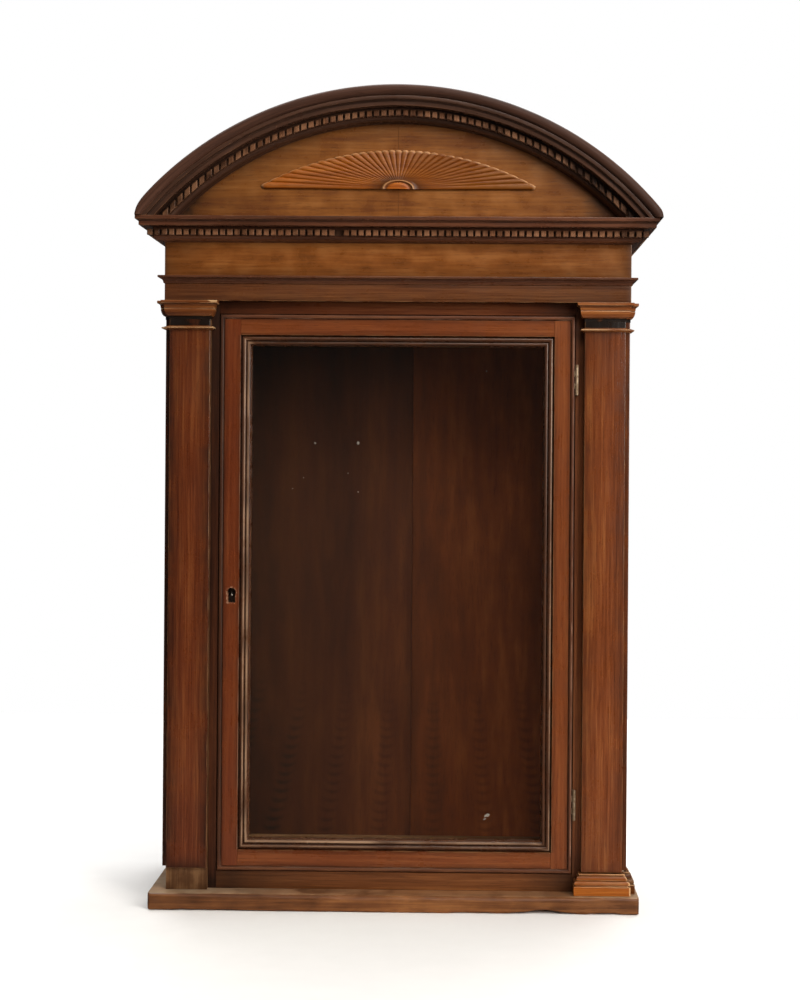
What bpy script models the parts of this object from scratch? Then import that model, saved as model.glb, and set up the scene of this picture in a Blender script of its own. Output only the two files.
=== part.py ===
"""A glazed display cabinet in mahogany, with pilasters, a dentil cornice and an arched pediment.

Metres, +Z up, front towards -Y. The origin lies under the middle of the cabinet, at its foot.
"""

import math

import bmesh
import bpy

# Clearances
GAP = 0.0003  # between pieces that touch
DOOR_CLEARANCE = 0.001  # round the edges of the closed door
GLASS_CLEARANCE = 0.0008  # round the edges of the pane
LEAF_CLEARANCE = 0.0004  # between the two closed leaves of a hinge
PIN_CLEARANCE = 0.00008  # round a hinge pin
BOLT_CLEARANCE = 0.0004  # round the lock bolt in its channel and its mortise

# Case
CASE_WIDTH = 0.582
CASE_DEPTH = 0.197
SIDE_THICKNESS = 0.016
SIDE_FACING_THICKNESS = 0.0062
BACK_THICKNESS = 0.009
BACK_SEAM_X = 0.0144
TOP_THICKNESS = 0.016
FLOOR_THICKNESS = 0.015
POST_THICKNESS = 0.025
POST_REVEAL = 0.0102  # strip of post that shows beside the door
BOTTOM_RAIL_HEIGHT = 0.0218
HEAD_REVEAL = 0.0152  # strip of head rail that shows above the door
STOP_END_INSET = 0.0233  # the door stop ends this far inside the posts
STOP_DROP = 0.006  # the stop hangs this far below the top edge of the door
STOP_HEIGHT = 0.026
STOP_THICKNESS = 0.006

# Base
BASE_THICKNESS = 0.0205
BASE_SIDE_OVERHANG = 0.013
BASE_FRONT_OVERHANG = 0.018
BASE_EDGE_RADIUS = 0.002

# Pilasters
PILASTER_WIDTH = 0.051
PILASTER_FACING_THICKNESS = 0.003
PILASTER_CORE_THICKNESS = 0.008
MOULDING_RETURN = 0.028  # how far a capital or base turns back along the side

# Base moulding of a pilaster, from the plinth up
PLINTH_HEIGHT = 0.0118
PLINTH_PROJECTION = 0.0096
TORUS_HEIGHT = 0.0062
TORUS_PROJECTION = 0.0084
BASE_OVOLO_HEIGHT = 0.0050
BASE_OVOLO_PROJECTION = 0.0056
BASE_FILLET_HEIGHT = 0.0035
BASE_FILLET_PROJECTION = 0.0022

# Capital, from the top down
ABACUS_HEIGHT = 0.0034
ABACUS_PROJECTION = 0.0096
CAPITAL_COVE_HEIGHT = 0.0028
ECHINUS_HEIGHT = 0.0110
ECHINUS_PROJECTION = 0.0068
CAPITAL_FILLET_HEIGHT = 0.0058
CAPITAL_FILLET_PROJECTION = 0.0022

# Necking bead under the capital
NECKING_HEIGHT = 0.0080
ASTRAGAL_HEIGHT = 0.0050
ASTRAGAL_PROJECTION = 0.0048

# Architrave, frieze and the narrow moulding over their joint
ARCHITRAVE_HEIGHT = 0.0255
FRIEZE_HEIGHT = 0.0466
TAENIA_DROP = 0.0040
TAENIA_HEIGHT = 0.0093
TAENIA_FILLET_HEIGHT = 0.0026
TAENIA_PROJECTION = 0.0076
TAENIA_FOOT = 0.0014

# Cornice, from the bed moulding up; the arch repeats the same members outwards
BED_HEIGHT = 0.0070
BED_FOOT = 0.0022
BED_PROJECTION = 0.0125
DENTIL_HEIGHT = 0.0076
DENTIL_WIDTH = 0.0064
DENTIL_PITCH = 0.0090
DENTIL_GROUND = 0.0017  # thickness of the strip that the dentils stand on
DENTIL_RELIEF = 0.0043
LOST_DENTIL_X = -0.0765
DENTIL_SHADOW = 0.0033  # clear height between the dentils and the corona
CORONA_HEIGHT = 0.0042
CORONA_PROJECTION = 0.0275
CORNICE_COVE_HEIGHT = 0.0030
CORNICE_FILLET_HEIGHT = 0.0044
CORNICE_PROJECTION = 0.0315
CROWN_HEIGHT = 0.0135
CROWN_FOOT = 0.0300
CROWN_PROJECTION = 0.0355
CROWN_SEAT = 0.0120  # depth of the level back part of a side crown

# Pediment
ARCH_SPRING = 0.0417  # the arch's outer curve meets the cornice this far outside the case
PEDIMENT_RISE = 0.1624
TYMPANUM_THICKNESS = 0.016
SEAM_BLOCK_WIDTH = 0.060
SEAM_BLOCK_HEIGHT = 0.090
SEAM_BLOCK_DEPTH = 0.045
SEAM_BLOCK_TOP = 0.014

# Carved fan
FAN_WIDTH = 0.339
FAN_HEIGHT = 0.0476
FAN_TIP_HEIGHT = 0.0046
FAN_LIFT = 0.0381  # above the cornice
FAN_RAYS = 33
FAN_GROOVE = 0.0012
FAN_ROOT_RELIEF = 0.0027
FAN_RELIEF = 0.0034
FAN_ROOT = 0.0200  # a ray rises to its root relief over this length
FAN_SCALLOP = 0.0060  # length of a ray's rounded end
FAN_BOSS_WIDTH = 0.042
FAN_BOSS_HEIGHT = 0.0118
FAN_BOSS_RELIEF = 0.0060
FAN_BOSS_ROLL = 0.0045  # width of the boss's rounded edge
FAN_BOSS_SHOULDER = 0.0050  # relief where that edge begins

# Door
DOOR_HEIGHT = 0.697
DOOR_THICKNESS = 0.0205
DOOR_PROUD = 0.0005
FRAME_WIDTH = 0.0255
COCKBEAD_WIDTH = 0.0055
COCKBEAD_DEPTH = 0.0050
COCKBEAD_PROUD = 0.0015
GLAZING_WIDTH = 0.0130
GLAZING_QUIRK_WIDTH = 0.0022
GLAZING_QUIRK_DEPTH = 0.0045
GLAZING_SUNK = 0.0010
GLAZING_BEAD_WIDTH = 0.0034
GLAZING_STEP = 0.0020
GLAZING_EDGE_DEPTH = 0.0080
GLASS_DEPTH = 0.0140
GLASS_THICKNESS = 0.0025
GLAZING_BEAD_SIZE = 0.0080
GLAZING_BEAD_TOP = 0.0032  # width of the bead's back edge

# Hinges
HINGE_HEIGHT = 0.038
HINGE_TOP_INSET = 0.0795
HINGE_BOTTOM_INSET = 0.0860
HINGE_KNUCKLES = 5
KNUCKLE_RADIUS = 0.0021
PIN_RADIUS = 0.0009
LEAF_THICKNESS = 0.0010
LEAF_DEPTH = 0.0140

# Lock
LOCK_WIDTH = 0.0215
LOCK_HEIGHT = 0.036
LOCK_DEPTH = 0.009
KEYHOLE_BACKSET = 0.0160
KEYHOLE_RADIUS = 0.0056
KEYHOLE_SLOT_WIDTH = 0.0096
KEYHOLE_SLOT_DROP = 0.0130
KEYHOLE_POCKET = 0.0030
DRILL_PIN_RADIUS = 0.0012
DRILL_PIN_SUNK = 0.0045
BOLT_LENGTH = 0.0150
BOLT_HEIGHT = 0.0100
BOLT_THICKNESS = 0.0040
BOLT_THROW = 0.0060

# Smoothness of curves
ARC_STEPS = 4
ARCH_STEPS = 36
ROUND_SIDES = 16

# Widths
half_case = CASE_WIDTH / 2
pilaster_outer = half_case - SIDE_FACING_THICKNESS - GAP
pilaster_inner = pilaster_outer - PILASTER_WIDTH
half_opening = pilaster_inner - POST_REVEAL
half_door = half_opening - DOOR_CLEARANCE
half_inside = pilaster_outer - SIDE_THICKNESS
half_base = half_case + BASE_SIDE_OVERHANG
dentil_seat = BED_PROJECTION + GAP
dentil_front = dentil_seat + DENTIL_GROUND + DENTIL_RELIEF

# Planes from front to back
pilaster_projection = PILASTER_FACING_THICKNESS + PILASTER_CORE_THICKNESS
y_back = (CASE_DEPTH + pilaster_projection + CROWN_PROJECTION) / 2
y_case = y_back - CASE_DEPTH  # posts, rails and side panels
y_face = y_case - pilaster_projection  # pilasters, architrave and frieze
y_core = y_face + PILASTER_FACING_THICKNESS
y_post_back = y_case + POST_THICKNESS
y_inside_back = y_back - BACK_THICKNESS
y_door = y_case - DOOR_PROUD
y_door_back = y_door + DOOR_THICKNESS
y_glass = y_door + GLASS_DEPTH + GAP
y_glass_back = y_glass + GLASS_THICKNESS

# Levels from the foot up
base_moulding_height = PLINTH_HEIGHT + TORUS_HEIGHT + BASE_OVOLO_HEIGHT + BASE_FILLET_HEIGHT
capital_height = ABACUS_HEIGHT + CAPITAL_COVE_HEIGHT + ECHINUS_HEIGHT + CAPITAL_FILLET_HEIGHT
soffit_height = BED_HEIGHT + DENTIL_HEIGHT + DENTIL_SHADOW
cornice_height = soffit_height + CORONA_HEIGHT + CORNICE_COVE_HEIGHT + CORNICE_FILLET_HEIGHT
z_base = BASE_THICKNESS
z_shaft = z_base + base_moulding_height + 2 * GAP
z_rail = z_base + BOTTOM_RAIL_HEIGHT
z_door = z_rail + DOOR_CLEARANCE
z_door_top = z_door + DOOR_HEIGHT
z_head = z_door_top + DOOR_CLEARANCE
z_architrave = z_head + HEAD_REVEAL
z_frieze = z_architrave + ARCHITRAVE_HEIGHT
z_cornice = z_frieze + FRIEZE_HEIGHT
z_top = z_cornice + cornice_height
z_ceiling = z_top - TOP_THICKNESS
z_lock = z_door + DOOR_HEIGHT / 2

# Arch
half_chord = half_case + ARCH_SPRING
outer_radius = (half_chord**2 + PEDIMENT_RISE**2) / (2 * PEDIMENT_RISE)
z_centre = z_top + PEDIMENT_RISE - outer_radius
crown_radius = outer_radius - CROWN_HEIGHT
arch_radius = crown_radius - GAP - cornice_height

# Joint axes
hinge_x = half_door + GAP + KNUCKLE_RADIUS
hinge_y = y_case - GAP - KNUCKLE_RADIUS
lock_x = -half_door + KEYHOLE_BACKSET

FINISHES = {
    "red_mahogany": ((0.130, 0.047, 0.019), 0.42, 0.0),
    "golden_mahogany": ((0.200, 0.078, 0.021), 0.45, 0.0),
    "dark_mahogany": ((0.050, 0.027, 0.018), 0.40, 0.0),
    "worn_mahogany": ((0.180, 0.074, 0.028), 0.55, 0.0),
    "carved_mahogany": ((0.270, 0.110, 0.036), 0.45, 0.0),
    "raw_pine": ((0.170, 0.095, 0.048), 0.75, 0.0),
    "inside_mahogany": ((0.090, 0.036, 0.017), 0.60, 0.0),
    "brass": ((0.560, 0.400, 0.180), 0.35, 1.0),
    "iron": ((0.080, 0.075, 0.070), 0.50, 1.0),
    "glass": ((0.800, 0.820, 0.800), 0.03, 0.0),
}


def make_finish(name):
    """A Principled material from the colour, roughness and metallic value of a finish."""
    colour, roughness, metallic = FINISHES[name]
    material = bpy.data.materials.new(name)
    material.use_nodes = True
    shader = material.node_tree.nodes["Principled BSDF"]
    shader.inputs["Base Color"].default_value = (*colour, 1.0)
    shader.inputs["Roughness"].default_value = roughness
    shader.inputs["Metallic"].default_value = metallic
    if name == "glass":
        shader.inputs["Transmission Weight"].default_value = 1.0
    return material


def make_axis(name, location):
    """An empty on a joint's axis, which carries the pieces that move about it."""
    axis = bpy.data.objects.new(name, None)
    axis.location = location
    bpy.context.scene.collection.objects.link(axis)
    return axis


def add_object(name, bm, axis=None):
    """Turns a closed mesh into an object, placed on its joint's axis if it has one."""
    bmesh.ops.recalc_face_normals(bm, faces=bm.faces)
    if axis:
        bmesh.ops.translate(bm, verts=bm.verts, vec=-axis.location)
    mesh = bpy.data.meshes.new(name)
    bm.to_mesh(mesh)
    bm.free()
    obj = bpy.data.objects.new(name, mesh)
    obj.parent = axis
    bpy.context.scene.collection.objects.link(obj)
    return obj


def add_piece(name, finish, bm, axis=None, rounded=False):
    """A visible piece of the cabinet, with its finish."""
    obj = add_object(name, bm, axis)
    obj.data.materials.append(materials[finish])
    if rounded:
        obj.data.shade_smooth()
        obj.data.set_sharp_from_angle(angle=math.radians(35))
    return obj


def change(obj, operation, bm):
    """Cuts a helper shape from a piece, or joins it to the piece."""
    step = len(obj.modifiers) + 1
    helper = add_object(f"{obj.name}_helper_{step}", bm)
    helper.hide_render = True
    helper.display_type = "WIRE"
    modifier = obj.modifiers.new(f"{operation.lower()}_{step}", "BOOLEAN")
    modifier.operation = operation
    modifier.object = helper


def box(x, y, z):
    """A block between the low and the high limit along each axis."""
    bm = bmesh.new()
    bmesh.ops.create_cube(bm, size=1.0)
    for vert in bm.verts:
        vert.co = [low + (unit + 0.5) * (high - low) for unit, (low, high) in zip(vert.co, (x, y, z))]
    return bm


def prism(outline, place, low, high):
    """An outline pushed from low to high; place turns (u, v, w) into a point."""
    bm = bmesh.new()
    rings = [[bm.verts.new(place(u, v, w)) for u, v in outline] for w in (low, high)]
    join_rings(bm, rings)
    return bm


def upright(u, v, w):
    """For an outline in plan that rises along Z."""
    return (u, v, w)


def facing(u, v, w):
    """For an outline seen from the front that runs back along Y."""
    return (u, w, v)


def circle(x, y, radius):
    """The corners of a round outline."""
    turns = [2 * math.pi * i / ROUND_SIDES for i in range(ROUND_SIDES)]
    return [(x + radius * math.cos(turn), y + radius * math.sin(turn)) for turn in turns]


def join_rings(bm, rings, closed=False):
    """Skins a row of matching rings, and caps its ends unless the row closes on itself."""
    pairs = list(zip(rings, rings[1:]))
    if closed:
        pairs.append((rings[-1], rings[0]))
    else:
        bm.faces.new(rings[0])
        bm.faces.new(rings[-1])
    for first, second in pairs:
        for i in range(len(first)):
            bm.faces.new((first[i - 1], first[i], second[i], second[i - 1]))


def slice_off(bm, point, normal):
    """Cuts away what lies on the normal's side of a plane, and closes the cut."""
    everything = bm.verts[:] + bm.edges[:] + bm.faces[:]
    cut = bmesh.ops.bisect_plane(bm, geom=everything, plane_co=point, plane_no=normal, clear_outer=True)
    rim = [item for item in cut["geom_cut"] if isinstance(item, bmesh.types.BMEdge)]
    bmesh.ops.holes_fill(bm, edges=rim, sides=0)


def ovolo(start, end):
    """A convex quarter round from start to end, leaving start level."""
    turns = [math.pi / 2 * i / ARC_STEPS for i in range(ARC_STEPS + 1)]
    wide, tall = end[0] - start[0], end[1] - start[1]
    return [(start[0] + wide * math.sin(t), end[1] - tall * math.cos(t)) for t in turns]


def cove(start, end):
    """A hollow quarter round from start to end, leaving start upright."""
    turns = [math.pi / 2 * i / ARC_STEPS for i in range(ARC_STEPS + 1)]
    wide, tall = end[0] - start[0], end[1] - start[1]
    return [(end[0] - wide * math.cos(t), start[1] + tall * math.sin(t)) for t in turns]


def half_round(foot, height, projection):
    """A bead that stands on an upright face between foot and foot + height."""
    turns = [math.pi * i / (2 * ARC_STEPS) for i in range(2 * ARC_STEPS + 1)]
    root = projection - height / 2
    middle = foot + height / 2
    return [(root + height / 2 * math.sin(t), middle - height / 2 * math.cos(t)) for t in turns]


def cornice_profile():
    """Projection and height of the cornice's face, from the bed moulding to the top fillet."""
    corona_top = soffit_height + CORONA_HEIGHT
    cove_top = corona_top + CORNICE_COVE_HEIGHT
    return [
        (BED_FOOT, 0.0),
        *ovolo((BED_FOOT, BED_HEIGHT / 4), (BED_PROJECTION, BED_HEIGHT)),
        (BED_PROJECTION, soffit_height),
        (CORONA_PROJECTION, soffit_height),
        *cove((CORONA_PROJECTION, corona_top), (CORNICE_PROJECTION, cove_top)),
        (CORNICE_PROJECTION, cornice_height),
    ]


def crown_profile():
    """Projection and height of the crown's rounded nose."""
    lower = ovolo((CROWN_FOOT, 0.0), (CROWN_PROJECTION, CROWN_HEIGHT / 2))
    upper = [(out, CROWN_HEIGHT - level) for out, level in lower]
    return lower + upper[-2::-1]


def taenia_profile():
    """Projection and height of the moulding between architrave and frieze."""
    fillet_foot = TAENIA_HEIGHT - TAENIA_FILLET_HEIGHT
    return [
        *cove((TAENIA_FOOT, 0.0), (TAENIA_PROJECTION, fillet_foot)),
        (TAENIA_PROJECTION, TAENIA_HEIGHT),
    ]


def capital_profile():
    """Projection and height of a capital, from its lower fillet to its abacus."""
    echinus_foot = CAPITAL_FILLET_HEIGHT
    cove_foot = echinus_foot + ECHINUS_HEIGHT
    abacus_foot = cove_foot + CAPITAL_COVE_HEIGHT
    return [
        (CAPITAL_FILLET_PROJECTION, 0.0),
        *ovolo((CAPITAL_FILLET_PROJECTION, echinus_foot), (ECHINUS_PROJECTION, cove_foot)),
        *cove((ECHINUS_PROJECTION, cove_foot), (ABACUS_PROJECTION, abacus_foot))[1:],
        (ABACUS_PROJECTION, capital_height),
    ]


def base_profile():
    """Projection and height of a pilaster's base, from the plinth to the top fillet."""
    torus_top = PLINTH_HEIGHT + TORUS_HEIGHT
    ovolo_top = torus_top + BASE_OVOLO_HEIGHT
    shoulder = ovolo((BASE_FILLET_PROJECTION, ovolo_top), (BASE_OVOLO_PROJECTION, torus_top))
    return [
        (PLINTH_PROJECTION, 0.0),
        (PLINTH_PROJECTION, PLINTH_HEIGHT),
        *half_round(PLINTH_HEIGHT, TORUS_HEIGHT, TORUS_PROJECTION),
        *reversed(shoulder),
        (BASE_FILLET_PROJECTION, base_moulding_height),
    ]


def shift(profile, height):
    """A profile raised to its place."""
    return [(out, level + height) for out, level in profile]


def sweep(profile, stations, wall):
    """A moulding with its back on a wall: each station places a projection in plan."""
    bm = bmesh.new()
    rings = []
    for place, back in zip(stations, wall):
        points = [(*back, profile[0][1])]
        points += [(*place(out), level) for out, level in profile]
        points.append((*back, profile[-1][1]))
        rings.append([bm.verts.new(point) for point in points])
    join_rings(bm, rings)
    return bm


def front_run(profile, back):
    """A moulding across the front, mitred at both ends."""
    stations = [lambda out, side=side: (side * (half_case + out - GAP), y_face - out) for side in (-1, 1)]
    return sweep(profile, stations, [place(back) for place in stations])


def side_run(profile, side, back, front):
    """A moulding along one side, cut square at the back; front gives Y of its front end."""
    stations = [
        lambda out: (side * (half_case + out), front(out)),
        lambda out: (side * (half_case + out), y_back),
    ]
    return sweep(profile, stations, [place(back) for place in stations])


def side_mitre(out):
    """Y of a side moulding's front end where it meets the front one."""
    return y_face - out + GAP


def behind_arch(out):
    """Y of a side moulding's front end where it butts against the back of the arch."""
    return y_face + TYMPANUM_THICKNESS + GAP


def pilaster_stations(side):
    """The stepped plan of a pilaster and the edge of the side beside it, from the door outwards."""
    return [
        lambda out: (side * (pilaster_inner - out), y_case - GAP),
        lambda out: (side * (pilaster_inner - out), y_face - out),
        lambda out: (side * (pilaster_outer + out), y_face - out),
        lambda out: (side * (pilaster_outer + out), y_case - out),
        lambda out: (side * (half_case + out), y_case - out),
        lambda out: (side * (half_case + out), y_case + MOULDING_RETURN),
    ]


def arch_run(section):
    """A section of (projection, radius) points carried round the arch, standing on the cornice."""
    bm = bmesh.new()
    widest = max(radius for out, radius in section)
    reach = math.acos((z_top - z_centre) / widest) + CROWN_HEIGHT / widest
    rings = []
    for i in range(ARCH_STEPS + 1):
        turn = reach * (2 * i / ARCH_STEPS - 1)
        ring = [
            (radius * math.sin(turn), y_face - out, z_centre + radius * math.cos(turn))
            for out, radius in section
        ]
        rings.append([bm.verts.new(point) for point in ring])
    join_rings(bm, rings)
    slice_off(bm, (0, 0, z_top + GAP), (0, 0, -1))
    return bm


def arch_height(x, radius):
    """Level of an arc of the arch above the place x."""
    return z_centre + math.sqrt(radius**2 - x**2)


def dentil_edges(low, high, open_start=False):
    """Edges of the blocks and spaces of a dentil strip, and which cells are blocks."""
    first = DENTIL_PITCH - DENTIL_WIDTH if open_start else 0.0
    length = high - low - first - DENTIL_WIDTH
    count = round(length / DENTIL_PITCH)
    pitch = length / count
    starts = [low + first + i * pitch for i in range(count + 1)]
    edges = [low] if open_start else []
    raised = [False] if open_start else []
    for start in starts:
        edges += [start, start + DENTIL_WIDTH]
        raised += [True, False]
    return edges, raised[:-1]


def comb(edges, raised, place):
    """A strip with blocks on it. place gives a point from the edge, the level (0 back, 1 ground,
    2 block) and 0 for the foot or 1 for the top."""
    bm = bmesh.new()
    verts = {}

    def vert(edge, level, top):
        key = (edge, level, top)
        if key not in verts:
            verts[key] = bm.verts.new(place(edges[edge], level, top))
        return verts[key]

    def wall(edge, low, high):
        bm.faces.new([vert(edge, low, 0), vert(edge, high, 0), vert(edge, high, 1), vert(edge, low, 1)])

    for i, block in enumerate(raised):
        j = i + 1
        face = 2 if block else 1
        for level in (0, face):
            bm.faces.new([vert(i, level, 0), vert(j, level, 0), vert(j, level, 1), vert(i, level, 1)])
        outline = [(i, 0), (j, 0), (j, 1), (i, 1)]
        if block:
            outline[3:3] = [(j, 2), (i, 2)]
            wall(i, 1, 2)
            wall(j, 1, 2)
        for top in (0, 1):
            bm.faces.new([vert(edge, level, top) for edge, level in outline])
    wall(0, 0, 1)
    wall(len(raised), 0, 1)
    return bm


def frame_run(profile, half_width, low, high, y_zero):
    """A mitred frame: a profile of (distance inwards, distance back) points round a rectangle."""
    bm = bmesh.new()
    rings = []
    for side, level, rise in ((-1, low, 1), (1, low, 1), (1, high, -1), (-1, high, -1)):
        ring = [
            (side * (half_width - inward), y_zero + back, level + rise * inward)
            for inward, back in profile
        ]
        rings.append([bm.verts.new(point) for point in ring])
    join_rings(bm, rings, closed=True)
    return bm


def make_base():
    board = add_piece(
        "base_board",
        "worn_mahogany",
        box((-half_base, half_base), (y_face - BASE_FRONT_OVERHANG, y_back), (0.0, BASE_THICKNESS)),
    )
    edge = board.modifiers.new("worn_edges", "BEVEL")
    edge.width = BASE_EDGE_RADIUS
    edge.segments = 2


def make_case():
    standing = (z_base + GAP, z_top)
    under_top = z_ceiling - GAP
    for name, side in SIDES:
        panel = sorted((side * half_inside, side * pilaster_outer))
        add_piece(f"side_panel_{name}", "inside_mahogany", box(panel, (y_case, y_back), standing))
        skin = sorted((side * (pilaster_outer + GAP), side * half_case))
        add_piece(f"side_facing_{name}", "red_mahogany", box(skin, (y_case, y_back), (z_shaft, z_top)))
        post = sorted((side * half_opening, side * (half_inside - GAP)))
        add_piece(
            f"post_{name}", "dark_mahogany", box(post, (y_case, y_post_back), (z_base + GAP, under_top))
        )
        board = sorted((side * (half_inside - GAP), BACK_SEAM_X + side * GAP / 2))
        add_piece(f"back_board_{name}", "inside_mahogany", box(board, (y_inside_back, y_back), standing))
    inside = (-half_inside + GAP, half_inside - GAP)
    between_posts = (-half_opening + GAP, half_opening - GAP)
    to_back = y_inside_back - GAP
    bottom_rail = box(between_posts, (y_case, y_post_back), (z_base + GAP, z_rail))
    add_piece("bottom_rail", "red_mahogany", bottom_rail)
    head_rail = box(between_posts, (y_case, y_door_back), (z_head, under_top))
    add_piece("head_rail", "dark_mahogany", head_rail)
    add_piece(
        "floor_board",
        "inside_mahogany",
        box(inside, (y_post_back + GAP, to_back), (z_rail - FLOOR_THICKNESS, z_rail)),
    )
    add_piece("top_board", "raw_pine", box(inside, (y_case, to_back), (z_ceiling, z_top)))
    stop_foot = z_door_top - STOP_DROP
    stop_front = y_door_back + GAP
    add_piece(
        "door_stop",
        "inside_mahogany",
        box(
            (-half_opening + STOP_END_INSET, half_opening - STOP_END_INSET),
            (stop_front, stop_front + STOP_THICKNESS),
            (stop_foot, stop_foot + STOP_HEIGHT),
        ),
    )


def make_pilasters():
    under = z_architrave - GAP
    capital_foot = z_architrave - GAP - capital_height
    astragal_foot = capital_foot - NECKING_HEIGHT - ASTRAGAL_HEIGHT
    for name, side in SIDES:
        width = sorted((side * pilaster_inner, side * pilaster_outer))
        core = box(width, (y_core + GAP, y_case - GAP), (z_base + GAP, under))
        add_piece(f"pilaster_core_{name}", "raw_pine", core)
        skin = box(width, (y_face, y_core), (z_shaft, under))
        add_piece(f"pilaster_facing_{name}", "red_mahogany", skin)
        stations = pilaster_stations(side)
        wall = [place(GAP) for place in stations]
        capital = sweep(shift(capital_profile(), capital_foot), stations, wall)
        add_piece(f"capital_{name}", "worn_mahogany", capital, rounded=True)
        bead = half_round(astragal_foot, ASTRAGAL_HEIGHT, ASTRAGAL_PROJECTION)
        add_piece(f"astragal_{name}", "worn_mahogany", sweep(bead, stations, wall), rounded=True)


def make_base_moulding():
    """The right pilaster keeps its base; the left one has lost it, and its core shows."""
    outer = pilaster_outer + GAP
    wall = [
        (pilaster_inner - GAP, y_case - GAP),
        (pilaster_inner - GAP, y_core),
        (outer, y_core),
        (outer, y_case - PILASTER_CORE_THICKNESS / 2),
        (outer, y_case),
        (outer, y_case + MOULDING_RETURN),
    ]
    moulding = sweep(shift(base_profile(), z_base + GAP), pilaster_stations(1), wall)
    add_piece("base_moulding_right", "carved_mahogany", moulding, rounded=True)


def make_entablature():
    across = (-half_case, half_case)
    depth = (y_face, y_case - GAP)
    add_piece("architrave", "red_mahogany", box(across, depth, (z_architrave, z_frieze)))
    add_piece("frieze", "golden_mahogany", box(across, depth, (z_frieze + GAP, z_top)))
    taenia = shift(taenia_profile(), z_frieze - TAENIA_DROP)
    cornice = shift(cornice_profile(), z_cornice)
    crown = shift(crown_profile(), z_top + GAP)
    add_piece("taenia_front", "dark_mahogany", front_run(taenia, GAP), rounded=True)
    add_piece("cornice_front", "dark_mahogany", front_run(cornice, GAP), rounded=True)
    for name, side in SIDES:
        runs = {
            f"taenia_{name}": side_run(taenia, side, GAP, side_mitre),
            f"cornice_{name}": side_run(cornice, side, GAP, side_mitre),
            f"crown_{name}": side_run(crown, side, CROWN_SEAT, behind_arch),
        }
        for piece, run in runs.items():
            add_piece(piece, "dark_mahogany", run, rounded=True)


def make_dentils():
    """Straight strips on the front and the sides, and an upright-cut strip round the arch."""
    outs = (dentil_seat, dentil_seat + DENTIL_GROUND, dentil_front)
    foot = z_cornice + BED_HEIGHT + GAP
    levels = (foot, foot + DENTIL_HEIGHT - GAP)
    edges, raised = dentil_edges(-half_case - dentil_front, half_case + dentil_front)
    lost = min(range(len(raised)), key=lambda i: abs(edges[i] + DENTIL_WIDTH / 2 - LOST_DENTIL_X))
    raised[lost] = False
    add_piece(
        "dentils_front",
        "dark_mahogany",
        comb(edges, raised, lambda edge, level, top: (edge, y_face - outs[level], levels[top])),
    )
    edges, raised = dentil_edges(y_face - dentil_seat + GAP, y_back, open_start=True)
    for name, side in SIDES:
        strip = comb(
            edges,
            raised,
            lambda edge, level, top, side=side: (side * (half_case + outs[level]), edge, levels[top]),
        )
        add_piece(f"dentils_{name}", "dark_mahogany", strip)
    low_radius = arch_radius + BED_HEIGHT + GAP
    radii = (low_radius, low_radius + DENTIL_HEIGHT - GAP)
    half_span = math.sqrt(radii[1] ** 2 - (z_top - z_centre) ** 2)
    edges, raised = dentil_edges(-half_span - DENTIL_PITCH, half_span + DENTIL_PITCH)
    strip = comb(
        edges,
        raised,
        lambda edge, level, top: (edge, y_face - outs[level], arch_height(edge, radii[top])),
    )
    slice_off(strip, (0, 0, z_top + GAP), (0, 0, -1))
    add_piece("arch_dentils", "dark_mahogany", strip)


def make_pediment():
    section = [(GAP, arch_radius)]
    section += [(out, arch_radius + level) for out, level in cornice_profile()]
    section.append((GAP, arch_radius + cornice_height))
    add_piece("arch_cornice", "dark_mahogany", arch_run(section), rounded=True)
    section = [(-TYMPANUM_THICKNESS, crown_radius)]
    section += [(out, crown_radius + level) for out, level in crown_profile()]
    section.append((-TYMPANUM_THICKNESS, outer_radius))
    crown = arch_run(section)
    for side in (-1, 1):
        slice_off(crown, (side * (half_case + CROWN_PROJECTION), 0, 0), (side, 0, 0))
    add_piece("arch_crown", "dark_mahogany", crown, rounded=True)
    board_radius = crown_radius - GAP
    reach = math.acos((z_top + GAP - z_centre) / board_radius)
    half_steps = ARCH_STEPS // 2
    turns = [reach * i / half_steps for i in range(half_steps + 1)]
    for name, side in SIDES:
        outline = [(side * GAP / 2, z_top + GAP), (side * GAP / 2, z_centre + board_radius)]
        outline += [
            (side * board_radius * math.sin(turn), z_centre + board_radius * math.cos(turn))
            for turn in turns[1:]
        ]
        board = prism(outline, facing, y_face, y_face + TYMPANUM_THICKNESS)
        add_piece(f"tympanum_{name}", "golden_mahogany", board)
    seat = y_face + TYMPANUM_THICKNESS + GAP
    foot = z_top + GAP
    block = prism(
        [
            (seat, foot),
            (seat + SEAM_BLOCK_DEPTH, foot),
            (seat + SEAM_BLOCK_DEPTH, foot + SEAM_BLOCK_TOP),
            (seat + SEAM_BLOCK_TOP, foot + SEAM_BLOCK_HEIGHT),
            (seat, foot + SEAM_BLOCK_HEIGHT),
        ],
        lambda u, v, w: (w, u, v),
        -SEAM_BLOCK_WIDTH / 2,
        SEAM_BLOCK_WIDTH / 2,
    )
    add_piece("seam_block", "raw_pine", block)


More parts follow.
